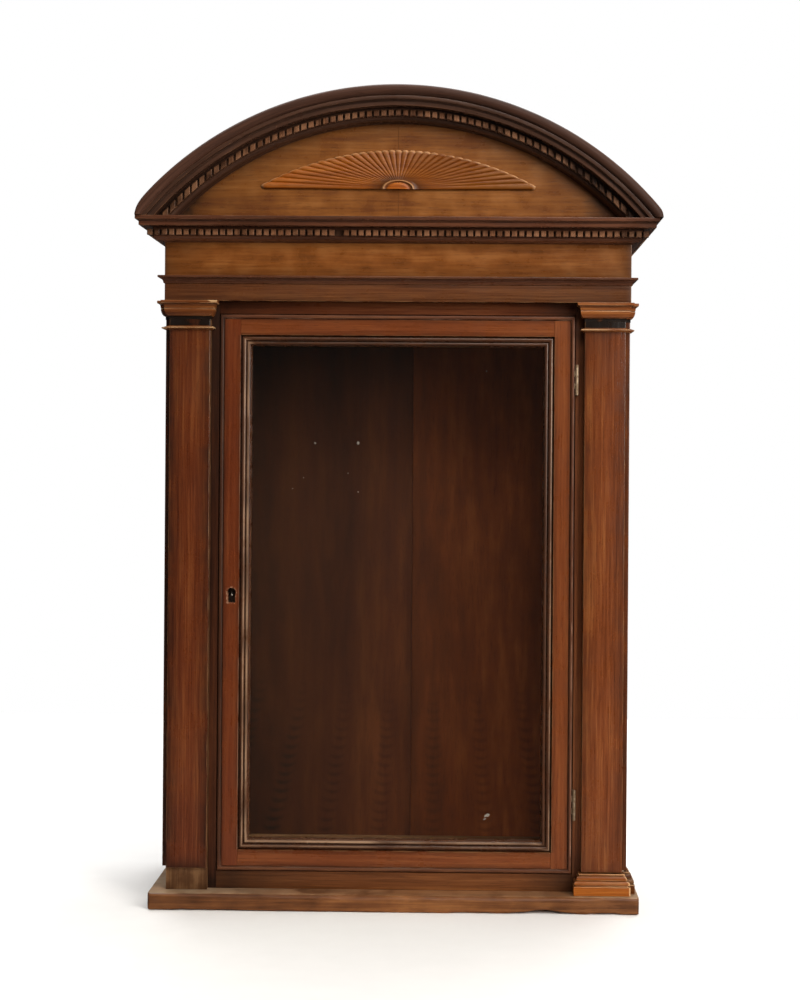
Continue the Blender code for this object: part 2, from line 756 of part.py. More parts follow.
def fan_columns():
    """For each groove and ridge of the fan: its root direction on the boss, its rim point and whether
    it is a ridge. The grooves stand evenly along the rim's arc; the outer two lie on the base line."""
    half_width = FAN_WIDTH / 2
    z_fan = z_top + FAN_LIFT
    rise = FAN_HEIGHT - FAN_TIP_HEIGHT
    radius = (half_width**2 + rise**2) / (2 * rise)
    reach = math.asin(half_width / radius)
    arc_rays = FAN_RAYS - 2

    def rim(step):
        """The rim at a step counted in grooves from the left, with half steps for ridges."""
        if step <= 1 or step >= FAN_RAYS - 1:
            side = -1 if step <= 1 else 1
            lift = step if step <= 1 else FAN_RAYS - step
            return (side * half_width, z_fan + FAN_TIP_HEIGHT * lift)
        turn = reach * (2 * (step - 1) / arc_rays - 1)
        return (radius * math.sin(turn), z_fan + FAN_HEIGHT - radius + radius * math.cos(turn))

    columns = []
    for i in range(2 * FAN_RAYS + 1):
        turn = math.pi * (1 - i / (2 * FAN_RAYS))
        columns.append(((math.cos(turn), math.sin(turn)), rim(i / 2), i % 2 == 1))
    return z_fan, columns


def make_fan():
    """A half-oval boss with rays that swell towards a scalloped rim, carved in one flat-backed piece."""
    z_fan, columns = fan_columns()
    seat = y_face - GAP
    bm = bmesh.new()
    middle = bm.verts.new((0.0, seat - FAN_BOSS_RELIEF, z_fan))
    middle_back = bm.verts.new((0.0, seat, z_fan))
    rings = []
    rim_back = []
    inner = 1 - FAN_BOSS_ROLL / FAN_BOSS_HEIGHT
    for (across, up), (rim_x, rim_z), ridge in columns:
        edge_x, edge_z = FAN_BOSS_WIDTH / 2 * across, z_fan + FAN_BOSS_HEIGHT * up
        root = FAN_ROOT_RELIEF if ridge else FAN_GROOVE
        crest = FAN_RELIEF if ridge else FAN_GROOVE
        length = math.hypot(rim_x - edge_x, rim_z - edge_z)
        stops = (
            (0.0, FAN_GROOVE),
            (min(FAN_ROOT / length, 0.5), root),
            (max(1 - FAN_SCALLOP / length, 0.6), crest),
            (1.0, FAN_GROOVE),
        )
        rows = [(edge_x * inner, z_fan + (edge_z - z_fan) * inner, FAN_BOSS_SHOULDER)]
        rows += [
            (edge_x + (rim_x - edge_x) * share, edge_z + (rim_z - edge_z) * share, relief)
            for share, relief in stops
        ]
        rings.append([bm.verts.new((x, seat - out, z)) for x, z, out in rows])
        rim_back.append(bm.verts.new((rim_x, seat, rim_z)))
    for (first, second), (back, next_back) in zip(zip(rings, rings[1:]), zip(rim_back, rim_back[1:])):
        bm.faces.new((middle, first[0], second[0]))
        for row in range(len(first) - 1):
            bm.faces.new((first[row], first[row + 1], second[row + 1], second[row]))
        bm.faces.new((first[-1], back, next_back, second[-1]))
    bm.faces.new((middle_back, middle, *rings[0], rim_back[0]))
    bm.faces.new((middle_back, middle, *rings[-1], rim_back[-1]))
    bm.faces.new((middle_back, *rim_back))
    add_piece("fan_carving", "carved_mahogany", bm)


def make_door(axis):
    """Stiles run through, rails stand between them; a bead fills the rebate round the front edge."""
    low, high = z_door, z_door_top
    inner = half_door - FRAME_WIDTH
    bead = COCKBEAD_WIDTH + GAP
    y_rebate = y_door + COCKBEAD_DEPTH + GAP
    stiles = {}
    for name, side in (("lock", -1), ("hinge", 1)):
        span = sorted((side * inner, side * half_door))
        back = box(span, (y_rebate, y_door_back), (low, high))
        stile = add_piece(f"door_stile_{name}", "red_mahogany", back, axis)
        face = sorted((side * inner, side * (half_door - bead)))
        change(stile, "UNION", box(face, (y_door, y_rebate + COCKBEAD_DEPTH), (low + bead, high - bead)))
        stiles[name] = stile
    between = inner - GAP
    for name, edge, rise in (("bottom", low, 1), ("top", high, -1)):
        outline = [
            (y_door_back, edge),
            (y_rebate, edge),
            (y_rebate, edge + rise * bead),
            (y_door, edge + rise * bead),
            (y_door, edge + rise * FRAME_WIDTH),
            (y_door_back, edge + rise * FRAME_WIDTH),
        ]
        rail = prism(outline, lambda u, v, w: (w, u, v), -between, between)
        add_piece(f"door_rail_{name}", "red_mahogany", rail, axis)
    nose = half_round(0.0, COCKBEAD_WIDTH, COCKBEAD_PROUD)
    profile = [
        (0.0, COCKBEAD_DEPTH),
        *((inward, -out) for out, inward in nose),
        (COCKBEAD_WIDTH, COCKBEAD_DEPTH),
    ]
    cockbead = frame_run(profile, half_door, low, high, y_door)
    add_piece("door_cockbead", "red_mahogany", cockbead, axis, rounded=True)
    return stiles


def make_glazing(axis):
    """A sunk moulding, the pane behind it, and a bead that holds the pane from the back."""
    half_sight = half_door - FRAME_WIDTH - GAP
    low, high = z_door + FRAME_WIDTH + GAP, z_door_top - FRAME_WIDTH - GAP
    outer_bead = GLAZING_QUIRK_WIDTH + GLAZING_QUIRK_DEPTH - GLAZING_SUNK
    groove = outer_bead + GLAZING_BEAD_WIDTH
    inner_bead = half_round(groove, GLAZING_BEAD_WIDTH, -GLAZING_SUNK - GLAZING_STEP)
    profile = [
        (0.0, GLASS_DEPTH),
        (0.0, GLAZING_QUIRK_DEPTH),
        (GLAZING_QUIRK_WIDTH, GLAZING_QUIRK_DEPTH),
        *((inward, -out) for out, inward in half_round(outer_bead, GLAZING_BEAD_WIDTH, -GLAZING_SUNK)),
        *((inward, -out) for out, inward in inner_bead[1:]),
        (GLAZING_WIDTH, GLAZING_EDGE_DEPTH),
        (GLAZING_WIDTH, GLASS_DEPTH),
    ]
    moulding = frame_run(profile, half_sight, low, high, y_door)
    add_piece("glazing_moulding", "dark_mahogany", moulding, axis, rounded=True)
    half_pane = half_sight - GLASS_CLEARANCE + GAP
    pane_edges = (low + GLASS_CLEARANCE - GAP, high - GLASS_CLEARANCE + GAP)
    add_piece("glass_pane", "glass", box((-half_pane, half_pane), (y_glass, y_glass_back), pane_edges), axis)
    bead = [
        (0.0, y_door_back),
        (0.0, y_glass_back + GAP),
        (GLAZING_BEAD_SIZE, y_glass_back + GAP),
        (GLAZING_BEAD_TOP, y_door_back),
    ]
    add_piece("glazing_bead", "inside_mahogany", frame_run(bead, half_sight, low, high, 0.0), axis)


def leaf_plates():
    """Low and high X of the plates of a closed hinge, let into the door and into the post."""
    middle = half_door + DOOR_CLEARANCE / 2
    door = (middle - LEAF_CLEARANCE / 2 - LEAF_THICKNESS, middle - LEAF_CLEARANCE / 2)
    post = (middle + LEAF_CLEARANCE / 2, middle + LEAF_CLEARANCE / 2 + LEAF_THICKNESS)
    return door, post


def make_hinge(name, z_middle, axis, door_seats, post):
    """Two leaves with interleaved knuckles on one pin; the outer and middle knuckles are the post's."""
    door_plate, post_plate = leaf_plates()
    low = z_middle - HINGE_HEIGHT / 2
    high = z_middle + HINGE_HEIGHT / 2
    y_plate = hinge_y + KNUCKLE_RADIUS + GAP
    plate_depth = (y_plate, y_plate + LEAF_DEPTH)
    step = HINGE_HEIGHT / HINGE_KNUCKLES
    ends = (low - HINGE_HEIGHT, high + HINGE_HEIGHT)
    leaves = (
        ("door_leaf", door_plate, 1, axis, door_seats, (door_plate[0] - GAP, half_door + GAP)),
        ("post_leaf", post_plate, 0, None, [post], (half_opening - GAP, post_plate[1] + GAP)),
    )
    for leaf_name, plate, first, carrier, seats, recess in leaves:
        leaf = add_piece(f"hinge_{name}_{leaf_name}", "brass", box(plate, plate_depth, (low, high)), carrier)
        arm = [
            (plate[0], hinge_y),
            (hinge_x, hinge_y),
            (hinge_x, hinge_y + KNUCKLE_RADIUS / 2),
            (plate[1], y_plate),
            (plate[1], y_plate + LEAF_THICKNESS),
            (plate[0], y_plate + LEAF_THICKNESS),
        ]
        for k in range(first, HINGE_KNUCKLES, 2):
            span = (low + k * step + GAP / 2, low + (k + 1) * step - GAP / 2)
            change(leaf, "UNION", prism(arm, upright, *span))
            change(leaf, "UNION", prism(circle(hinge_x, hinge_y, KNUCKLE_RADIUS), upright, *span))
        bore = circle(hinge_x, hinge_y, (PIN_RADIUS + PIN_CLEARANCE) / math.cos(math.pi / ROUND_SIDES))
        change(leaf, "DIFFERENCE", prism(bore, upright, *ends))
        recess_depth = (y_door - HINGE_HEIGHT, y_plate + LEAF_DEPTH + GAP)
        for seat in seats:
            change(seat, "DIFFERENCE", box(recess, recess_depth, (low - GAP, high + GAP)))
    pin = prism(circle(hinge_x, hinge_y, PIN_RADIUS), upright, low, high)
    add_piece(f"hinge_{name}_pin", "brass", pin, rounded=True)


def keyhole(y_low, y_high):
    """A round hole with a broad slot below it, cut along Y through its given depth."""
    half_slot = KEYHOLE_SLOT_WIDTH / 2
    slot_turn = math.asin(half_slot / KEYHOLE_RADIUS)
    steps = ROUND_SIDES - 2
    turns = [slot_turn + (2 * math.pi - 2 * slot_turn) * i / steps for i in range(steps + 1)]
    outline = [
        (lock_x - KEYHOLE_RADIUS * math.sin(turn), z_lock - KEYHOLE_RADIUS * math.cos(turn)) for turn in turns
    ]
    outline += [
        (lock_x + half_slot, z_lock - KEYHOLE_SLOT_DROP),
        (lock_x - half_slot, z_lock - KEYHOLE_SLOT_DROP),
    ]
    return prism(outline, facing, y_low, y_high)


def make_lock(axis, bolt_axis, stile, post):
    """A lock let into the back of the lock stile, its bolt drawn back flush with the door's edge."""
    edge = -half_door
    case_x = (edge + GAP, edge + LOCK_WIDTH)
    case_y = (y_door_back - LOCK_DEPTH, y_door_back)
    case_z = (z_lock - LOCK_HEIGHT / 2, z_lock + LOCK_HEIGHT / 2)
    recess_z = (case_z[0] - GAP, case_z[1] + GAP)
    beyond = LOCK_DEPTH
    change(
        stile,
        "DIFFERENCE",
        box((edge - beyond, case_x[1] + GAP), (case_y[0] - GAP, case_y[1] + beyond), recess_z),
    )
    change(stile, "DIFFERENCE", keyhole(y_door - beyond, case_y[0] + GAP))
    bolt_y = y_door_back - LOCK_DEPTH / 2 + KEYHOLE_POCKET / 2
    bolt_depth = (bolt_y - BOLT_THICKNESS / 2, bolt_y + BOLT_THICKNESS / 2)
    bolt_span = (z_lock - BOLT_HEIGHT / 2, z_lock + BOLT_HEIGHT / 2)
    bolt = box((edge + GAP, edge + GAP + BOLT_LENGTH), bolt_depth, bolt_span)
    add_piece("lock_bolt", "brass", bolt, bolt_axis)
    slot_depth = (bolt_depth[0] - BOLT_CLEARANCE, bolt_depth[1] + BOLT_CLEARANCE)
    slot_span = (bolt_span[0] - BOLT_CLEARANCE, bolt_span[1] + BOLT_CLEARANCE)
    case = add_piece("lock_case", "iron", box(case_x, case_y, case_z), axis)
    channel = (edge - beyond, edge + GAP + BOLT_LENGTH + BOLT_CLEARANCE)
    change(case, "DIFFERENCE", box(channel, slot_depth, slot_span))
    pocket_floor = case_y[0] + KEYHOLE_POCKET - KEYHOLE_POCKET / 2
    change(case, "DIFFERENCE", keyhole(case_y[0] - beyond, pocket_floor))
    pin = prism(
        circle(lock_x, z_lock - DRILL_PIN_RADIUS, DRILL_PIN_RADIUS),
        facing,
        y_door + DRILL_PIN_SUNK,
        pocket_floor + KEYHOLE_POCKET / 4,
    )
    change(case, "UNION", pin)
    mortise = (-half_opening - BOLT_THROW - BOLT_CLEARANCE, -half_opening + beyond)
    change(post, "DIFFERENCE", box(mortise, slot_depth, slot_span))


SIDES = (("left", -1), ("right", 1))
for old in list(bpy.data.objects):
    bpy.data.objects.remove(old, do_unlink=True)
materials = {name: make_finish(name) for name in FINISHES}
door_axis = make_axis("door_axis", (hinge_x, hinge_y, z_lock))
bolt_axis = make_axis("bolt_axis", (-half_door, y_door_back - LOCK_DEPTH / 2, z_lock))
make_base()
make_case()
make_pilasters()
make_base_moulding()
make_entablature()
make_dentils()
make_pediment()
make_fan()
door_stiles = make_door(door_axis)
make_glazing(door_axis)
post_left = bpy.data.objects["post_left"]
post_right = bpy.data.objects["post_right"]
hinge_seats = [door_stiles["hinge"], bpy.data.objects["door_cockbead"]]
make_hinge("top", z_door_top - HINGE_TOP_INSET, door_axis, hinge_seats, post_right)
make_hinge("bottom", z_door + HINGE_BOTTOM_INSET, door_axis, hinge_seats, post_right)
make_lock(door_axis, bolt_axis, door_stiles["lock"], post_left)
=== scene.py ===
# %% [markdown]
# # An old mahogany display cabinet
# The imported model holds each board, moulding and hinge at its real size. This lesson dresses it: boards with
# rounded edges, mouldings with their full curves, a carved fan, worn polish, old glass and dull brass.
# Everything is in metres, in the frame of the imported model, with the front towards -Y.

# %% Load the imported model
import math

import bmesh
import bpy
import numpy as np
from mathutils import Matrix, Vector


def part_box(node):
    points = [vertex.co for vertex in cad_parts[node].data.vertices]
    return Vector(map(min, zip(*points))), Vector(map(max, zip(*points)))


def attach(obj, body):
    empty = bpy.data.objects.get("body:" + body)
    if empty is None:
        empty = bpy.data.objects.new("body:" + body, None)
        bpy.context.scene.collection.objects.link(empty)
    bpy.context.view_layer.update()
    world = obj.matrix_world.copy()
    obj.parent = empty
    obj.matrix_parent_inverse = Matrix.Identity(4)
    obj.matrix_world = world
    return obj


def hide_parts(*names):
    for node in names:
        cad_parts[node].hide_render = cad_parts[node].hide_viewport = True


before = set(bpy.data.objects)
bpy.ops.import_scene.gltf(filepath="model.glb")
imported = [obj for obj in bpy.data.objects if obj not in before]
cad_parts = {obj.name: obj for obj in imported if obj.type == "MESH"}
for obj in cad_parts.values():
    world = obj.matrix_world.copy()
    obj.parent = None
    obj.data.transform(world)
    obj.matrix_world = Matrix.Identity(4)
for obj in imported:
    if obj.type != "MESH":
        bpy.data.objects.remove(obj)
scene = bpy.context.scene
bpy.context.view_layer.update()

# %% [markdown]
# ## Sizes
# New pieces have to sit exactly where the solids are. Planes and levels could be typed in again, but reading
# them from the nodes' boxes keeps both in step. Only sizes inside a moulding's profile are repeated here.

# %% Planes and levels from the frame
JOINT = 0.0003  # clear gap between pieces that touch


def limits(node):
    """Lowest and highest corner of a node, as plain arrays."""
    low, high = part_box(node)
    return np.array(low), np.array(high)


frieze_low, frieze_high = limits("frieze")
facing_low, facing_high = limits("pilaster_facing_right")
half_case = frieze_high[0]
y_face = frieze_low[1]
z_top = frieze_high[2]
y_case = limits("post_left")[0][1]
y_back = limits("side_panel_left")[1][1]
pilaster_inner, pilaster_outer = facing_low[0], facing_high[0]
half_door = limits("door_cockbead")[1][0]
SIDES = (("left", -1), ("right", 1))
print(f"case {2 * half_case:.3f} m wide, top at {z_top:.3f} m, front plane at {y_face:.4f} m")

# %% [markdown]
# ## Camera
# The picture was taken from about 1.9 m, a little right of the middle and a little above half height. The
# camera is turned 0.7 degrees and rolled 0.4 degrees, and the lens is shifted, because the picture was
# cropped off centre: its principal point isn't in the middle of the frame.

# %% Camera
IMAGE_WIDTH, IMAGE_HEIGHT = 800, 1000  # pixels
FOCAL_PX = 1525.5
PRINCIPAL_PX = (441.7, 455.2)
EYE_DISTANCE = 1.9
EYE_X, EYE_Z = 0.079, 0.5656
EYE_YAW, EYE_ROLL = math.radians(0.68), math.radians(0.42)
SENSOR_MM = 36

camera_data = bpy.data.cameras.new("camera")
camera_data.sensor_width = SENSOR_MM
camera_data.lens = FOCAL_PX * SENSOR_MM / IMAGE_HEIGHT
camera_data.shift_x = (IMAGE_WIDTH / 2 - PRINCIPAL_PX[0]) / IMAGE_HEIGHT
camera_data.shift_y = (PRINCIPAL_PX[1] - IMAGE_HEIGHT / 2) / IMAGE_HEIGHT
camera = bpy.data.objects.new("camera", camera_data)
scene.collection.objects.link(camera)
camera.matrix_world = (
    Matrix.Translation((EYE_X, y_face - EYE_DISTANCE, EYE_Z))
    @ Matrix.Rotation(EYE_YAW, 4, "Z")
    @ Matrix.Rotation(math.pi / 2, 4, "X")
    @ Matrix.Rotation(EYE_ROLL, 4, "Z")
)
scene.camera = camera
print(f"lens {camera_data.lens:.1f} mm, shift {camera_data.shift_x:.3f}, {camera_data.shift_y:.3f}")

# %% [markdown]
# ## Colours and nodes
# Colours are written as sRGB hex values, as a paint chart gives them, and one function turns them to the
# linear values that shaders use. A second small function adds a node with its settings and links.

# %% Helpers for materials
MIX_COLOURS = {"output": 2, "data_type": "RGBA"}  # a Mix node for colours, which takes inputs 0, 6 and 7


def linear(text):
    """An sRGB hex colour as linear values: c / 12.92 below 0.04045, else ((c + 0.055) / 1.055) ** 2.4."""
    srgb = np.array([int(text[i : i + 2], 16) for i in (1, 3, 5)]) / 255
    values = np.where(srgb <= 0.04045, srgb / 12.92, ((srgb + 0.055) / 1.055) ** 2.4)
    return (*values.tolist(), 1.0)


def noise_scale(size_mm):
    """Noise scale for spots of a size in millimetres: 1000 over the size, to the nearest whole number."""
    return float(round(1000 / size_mm))


def feed(tree, node, inputs):
    """Links sockets to a node's inputs and sets plain values on them, in order or by name or number."""
    for key, value in inputs.items() if isinstance(inputs, dict) else enumerate(inputs):
        if isinstance(value, bpy.types.NodeSocket):
            tree.links.new(value, node.inputs[key])
        else:
            node.inputs[key].default_value = value


def add_node(tree, kind, inputs=(), output=0, **settings):
    """Adds a node with its settings, links and values, and returns one of its outputs."""
    node = tree.nodes.new("ShaderNode" + kind)
    for key, value in settings.items():
        setattr(node, key, value)
    feed(tree, node, inputs)
    return node.outputs[output]


def new_material(name):
    """An empty node material, its tree and its Principled shader."""
    material = bpy.data.materials.new(name)
    material.use_nodes = True
    tree = material.node_tree
    return material, tree, tree.nodes["Principled BSDF"]


print("middle grey is", round(linear("#808080")[0], 3), "in linear values")

# %% [markdown]
# ## Floor and light
# A plain pale floor and soft light: a large lamp in front to the right, a weaker one to the left, one above
# the front and one above the floor behind. An image of a studio could light the scene, but its lamps would
# show in the pane. So the background shows white, also straight through the pane, but gives only a dim
# light, and the pane mirrors nothing and stays clear.

# %% Floor and light
FLOOR_HALF_WIDTH = 1.4
FLOOR_FRONT, FLOOR_BACK = -0.62, 1.3
PAPER_GRIT_MM = 16.7  # real paper is finer; this shows as a faint unevenness


def lamp(name, width, height, watts, place, target, colour=(1.0, 0.96, 0.91)):
    """A rectangular soft lamp at a place, turned to a target."""
    data = bpy.data.lights.new(name, "AREA")
    data.shape = "RECTANGLE"
    data.size, data.size_y = width, height
    data.energy = watts
    data.color = colour
    obj = bpy.data.objects.new(name, data)
    scene.collection.objects.link(obj)
    aim = Vector(target) - Vector(place)
    obj.matrix_world = Matrix.Translation(place) @ aim.to_track_quat("-Z", "Y").to_matrix().to_4x4()


lamp("key_light", 1.5, 1.9, 76, (2.05, -1.95, 1.45), (0.0, 0.0, 0.50))
lamp("fill_light", 1.2, 1.8, 4, (-2.0, -1.9, 1.30), (0.0, 0.0, 0.50))
lamp("front_light", 1.4, 0.9, 30, (0.60, -1.75, 2.40), (0.0, 0.0, 0.45))
lamp("floor_light", 2.8, 2.4, 104, (0.0, 0.95, 2.60), (0.0, 0.80, 0.0), (1.0, 1.0, 1.0))

floor_mesh = bpy.data.meshes.new("floor")
floor_plan = ((-1, FLOOR_FRONT), (1, FLOOR_FRONT), (1, FLOOR_BACK), (-1, FLOOR_BACK))
floor_mesh.from_pydata([(side * FLOOR_HALF_WIDTH, y, 0.0) for side, y in floor_plan], [], [(0, 1, 2, 3)])
floor = bpy.data.objects.new("floor", floor_mesh)
scene.collection.objects.link(floor)
floor.visible_glossy = False  # the pane doesn't mirror the floor,
floor.visible_transmission = False  # nor does its inner face; straight through it the background is as white
paper, tree, shader = new_material("white_studio_paper")  # pale, dull and even, so that the eye passes it over
grit = add_node(tree, "TexNoise", {"Scale": noise_scale(PAPER_GRIT_MM), "Detail": 3.0})
tint = add_node(tree, "Mix", {0: grit, 6: linear("#F6F5F3"), 7: linear("#FBFAF8")}, **MIX_COLOURS)
feed(tree, shader, {"Base Color": tint, "Roughness": 0.9})
floor.data.materials.append(paper)

scene.view_settings.view_transform = "Standard"
world = bpy.data.worlds.new("studio")
world.use_nodes = True
scene.world = world
sky = world.node_tree
sky.nodes.clear()
# white for the camera's own rays and for those that only went through the pane, dim for all others
ray = add_node(sky, "LightPath").node.outputs
bounces = add_node(sky, "Math", (ray["Diffuse Depth"], ray["Glossy Depth"]), operation="ADD")
unlit = add_node(sky, "Math", (bounces, 0.5), operation="LESS_THAN")
seen = (ray["Is Transmission Ray"], unlit, ray["Is Camera Ray"])
seen = add_node(sky, "Math", seen, operation="MULTIPLY_ADD")
dim = add_node(sky, "Background", ((1.0, 0.93, 0.86, 1.0), 0.04))
white = add_node(sky, "Background", ((1.0, 1.0, 1.0, 1.0), 1.0))
choice = add_node(sky, "MixShader", (seen, dim, white))
feed(sky, sky.nodes.new("ShaderNodeOutputWorld"), (choice,))
print("four soft lamps, a floor and a white background")

# %% [markdown]
# ## Old mahogany
# Mahogany has a straight, interlocked grain: soft dark and light streaks a few millimetres wide that run along
# the board, broad ribbons of lighter wood, and short dark pores. Old polish is rubbed thin on the edges, where
# paler wood shows, and dirt stays in the hollows; on some pieces the same darkening also paints the shade of
# recesses and undersides. An image of wood would do for one board, but noise stretched along the grain works on
# any piece: each new piece carries a `grain` attribute with the distance along the grain, across it and into
# the wood, and `wear` and `grime` attributes for its edges and hollows.

# %% Noise along the grain
STREAK_MM = 7.0  # width of the soft streaks


def per_metre(width_mm, stretch):
    """Noise scale along, across and into the grain for streaks of a width, this many times as long."""
    across = 1000 / width_mm
    return (across / stretch, across, across)


def grain_noise(tree, coords, width_mm, stretch, detail, output=0):
    """Noise in streaks of a width in millimetres, this many times as long as wide."""
    scaled = add_node(tree, "VectorMath", (coords, per_metre(width_mm, stretch)), operation="MULTIPLY")
    return add_node(tree, "TexNoise", {"Vector": scaled, "Scale": 1.0, "Detail": detail}, output)


def sum_of(tree, *terms):
    """The sum of sockets times weights."""
    total = 0.0
    for socket, weight in terms:
        total = add_node(tree, "Math", (socket, weight, total), operation="MULTIPLY_ADD")
    return total


def highest(tree, *ramps, least=0.0):
    """The largest of a value and of ramps; a ramp is a socket, two places on it and the two values there."""
    for ramp in ramps:
        least = add_node(tree, "Math", (least, add_node(tree, "MapRange", ramp)), operation="MAXIMUM")
    return least


print("streaks to the metre, along, across and into the wood:", np.round(per_metre(STREAK_MM, 30.0), 1))

# %% [markdown]
# A shader has to know where on a board it is. New pieces bring the grain and the distances to their edges as
# attributes. A plain board has none, but its object coordinates will do, turned so that the grain comes
# first. An unwrapped image would need neither, but every board and moulding would have to be unwrapped.

# %% Coordinates and edges
RIM_MM = 22.0  # dirt fades out over this distance from a board's edge


def object_xyz(tree):
    """The three object coordinates, as sockets."""
    return add_node(tree, "SeparateXYZ", (add_node(tree, "TexCoord", output="Object"),)).node.outputs[:]


def object_grain(tree, axis):
    """Object coordinates with the grain first: along X as they are, along Z turned over the Y axis."""
    coords = add_node(tree, "TexCoord", output="Object")
    turn = math.pi / 2 if axis == "Z" else 0.0
    return add_node(tree, "Mapping", {"Vector": coords, "Rotation": (0.0, turn, 0.0)})


def rim_grime(tree):
    """1 on a board's edge, fading to 0 inside it, from the distances to its four edges."""
    nearest = RIM_MM / 1000
    for name in ("rim", "tips"):
        pair = add_node(tree, "Attribute", output="Vector", attribute_name=name)
        for distance in add_node(tree, "SeparateXYZ", (pair,)).node.outputs[:2]:
            nearest = add_node(tree, "Math", (nearest, distance), operation="MINIMUM")
    wide = add_node(tree, "MapRange", (nearest, RIM_MM / 1000, 0.0))
    return add_node(tree, "Math", (wide, 1.5), operation="POWER")


print("dirt reaches in", RIM_MM, "mm from the edge of a board")

# %% [markdown]
# Streaks, lines, hairs and ribbons add up to one value, and a colour ramp turns it to dark, middle and light
# wood. Pores, dirt with painted shade, and rubbed places are mixed over it in the order in which they came.
# Each board could have a material of its own, but with one function for all of them they differ only in colour,
# dirt and wear, as real boards do, and in painted shade.

# %% Mahogany material
LINE_MM = 2.4  # width of the fine lines in the streaks
HAIR_MM = 1.2  # the finest lines; real ones are thinner, but would vanish in the picture
RIBBON_MM = 60.0  # width of the broad ribbons
PORE_MM = 1.2  # real pores are 0.3 mm wide; drawn coarser, so that they show
DRIFT_MM, DRIFT = 40.0, 0.007  # the grain wanders over this width, by this much in metres
PATCH_MM = 26.3  # width of the cloudy patches in polish and dirt
PORE_COLOUR, PORE_COVER = "#1E0D07", 0.30
# this dark colour also paints shade: the darkening that pieces bring in grime or from extra is partly painted
# shade
DIRT_AND_SHADE_COLOUR, DIRT_AND_SHADE_COVER = "#1A100A", 0.82  # old wax and soot, and the share of the wood that they hide at most
RUBBED_COVER = 0.85  # the share of the stain that is rubbed off at most


def mahogany(
    name, dark, middle, light, grain="piece", polish=0.27, rim=0.75, wear="#A9774A", coarse=1.0, mottle=0.0,
    rubbing=(0.42, 0.60), gloss=0.4, cloud=0.45, extra=None, layers=(),
):
    """Old polished mahogany. grain is piece for a new piece's attribute, or the axis of a plain board. coarse
    widens the grain, and mottle adds round patches. Polish is rubbed off where cloudy noise passes the range
    rubbing; gloss is the strength of the mirror light; cloud is the share of the dirt and painted shade that
    stays in its thinnest patches. extra(tree) may give darkening, which is dirt on some boards and painted
    shade on others, and wear, which on the door's frame includes a painted highlight; each of layers(tree,
    colour) gives a new colour, and on the back boards one of them paints light and shade."""
    material, tree, shader = new_material(name)
    if grain == "piece":
        coords = add_node(tree, "Attribute", output="Vector", attribute_name="grain")
    else:
        coords = object_grain(tree, grain)
    drift = grain_noise(tree, coords, DRIFT_MM, 5.0, 2.0, "Color")
    drift = add_node(tree, "VectorMath", (drift, (0.5, 0.5, 0.5)), operation="SUBTRACT")
    wavy = add_node(tree, "VectorMath", (drift, (0.0, DRIFT, DRIFT), coords), operation="MULTIPLY_ADD")
    streaks = grain_noise(tree, wavy, STREAK_MM * coarse, 30.0, 3.0)
    lines = grain_noise(tree, wavy, LINE_MM * coarse, 60.0 / coarse, 2.0)
    hairs = grain_noise(tree, wavy, HAIR_MM * coarse, 45.0 / coarse, 1.0)
    ribbons = grain_noise(tree, coords, RIBBON_MM, 4.0, 3.0)
    pores = add_node(tree, "MapRange", (grain_noise(tree, wavy, PORE_MM, 12.0, 1.0), 0.60, 0.74))
    patches = add_node(tree, "TexNoise", {"Vector": coords, "Scale": noise_scale(PATCH_MM), "Detail": 4.0})
    value = sum_of(tree, (streaks, 0.24), (lines, 0.30), (hairs, 0.18), (ribbons, 0.28))
    if mottle:
        swing = add_node(tree, "Math", (patches, 0.5), operation="SUBTRACT")
        value = sum_of(tree, (value, 1.0), (swing, mottle))
    wood = add_node(tree, "ValToRGB", (value,))
    ramp = wood.node.color_ramp.elements
    ramp[0].position, ramp[0].color = 0.36, linear(dark)
    ramp[1].position, ramp[1].color = 0.64, linear(light)
    ramp.new(0.50).color = linear(middle)
    pored = sum_of(tree, (pores, PORE_COVER))
    colour = add_node(tree, "Mix", {0: pored, 6: wood, 7: linear(PORE_COLOUR)}, **MIX_COLOURS)
    dirt, rubbed = extra(tree) if extra else (0.0, 0.0)
    if grain == "piece":
        hollow, worn, tone = (
            add_node(tree, "Attribute", output="Fac", attribute_name=key) for key in ("grime", "wear", "tone")
        )
        colour = add_node(tree, "VectorMath", {0: colour, "Scale": tone}, operation="SCALE")
        dirt = add_node(tree, "Math", (dirt, hollow), operation="MAXIMUM")
        rubbed = add_node(tree, "Math", (rubbed, worn), operation="MAXIMUM")
        if rim:
            dirt = highest(tree, (rim_grime(tree), 0.0, 1.0, 0.0, rim), least=dirt)
    cloudy = add_node(tree, "MapRange", (patches, 0.30, 0.62, cloud, 1.0))
    spread = sum_of(tree, (add_node(tree, "Math", (dirt, cloudy), operation="MULTIPLY"), DIRT_AND_SHADE_COVER))
    colour = add_node(tree, "Mix", {0: spread, 6: colour, 7: linear(DIRT_AND_SHADE_COLOUR)}, **MIX_COLOURS)
    bare = add_node(tree, "MapRange", (patches, *rubbing))
    bare = sum_of(tree, (add_node(tree, "Math", (rubbed, bare), operation="MULTIPLY"), RUBBED_COVER))
    colour = add_node(tree, "Mix", {0: bare, 6: colour, 7: linear(wear)}, **MIX_COLOURS)
    for layer in layers:
        colour = layer(tree, colour)
    shine = sum_of(tree, (patches, 0.24), (lines, 0.10))
    rough = add_node(tree, "MapRange", (shine, 0.08, 0.26, polish - 0.06, polish + 0.12))
    height = sum_of(tree, (pores, -0.8), (lines, 0.3), (patches, 0.5))
    bump = add_node(tree, "Bump", {"Height": height, "Strength": 0.13, "Distance": 0.0006})
    feed(tree, shader, {
        "Base Color": colour, "Roughness": rough, "Normal": bump, "IOR": 1.5, "Specular IOR Level": gloss,
    })
    return material


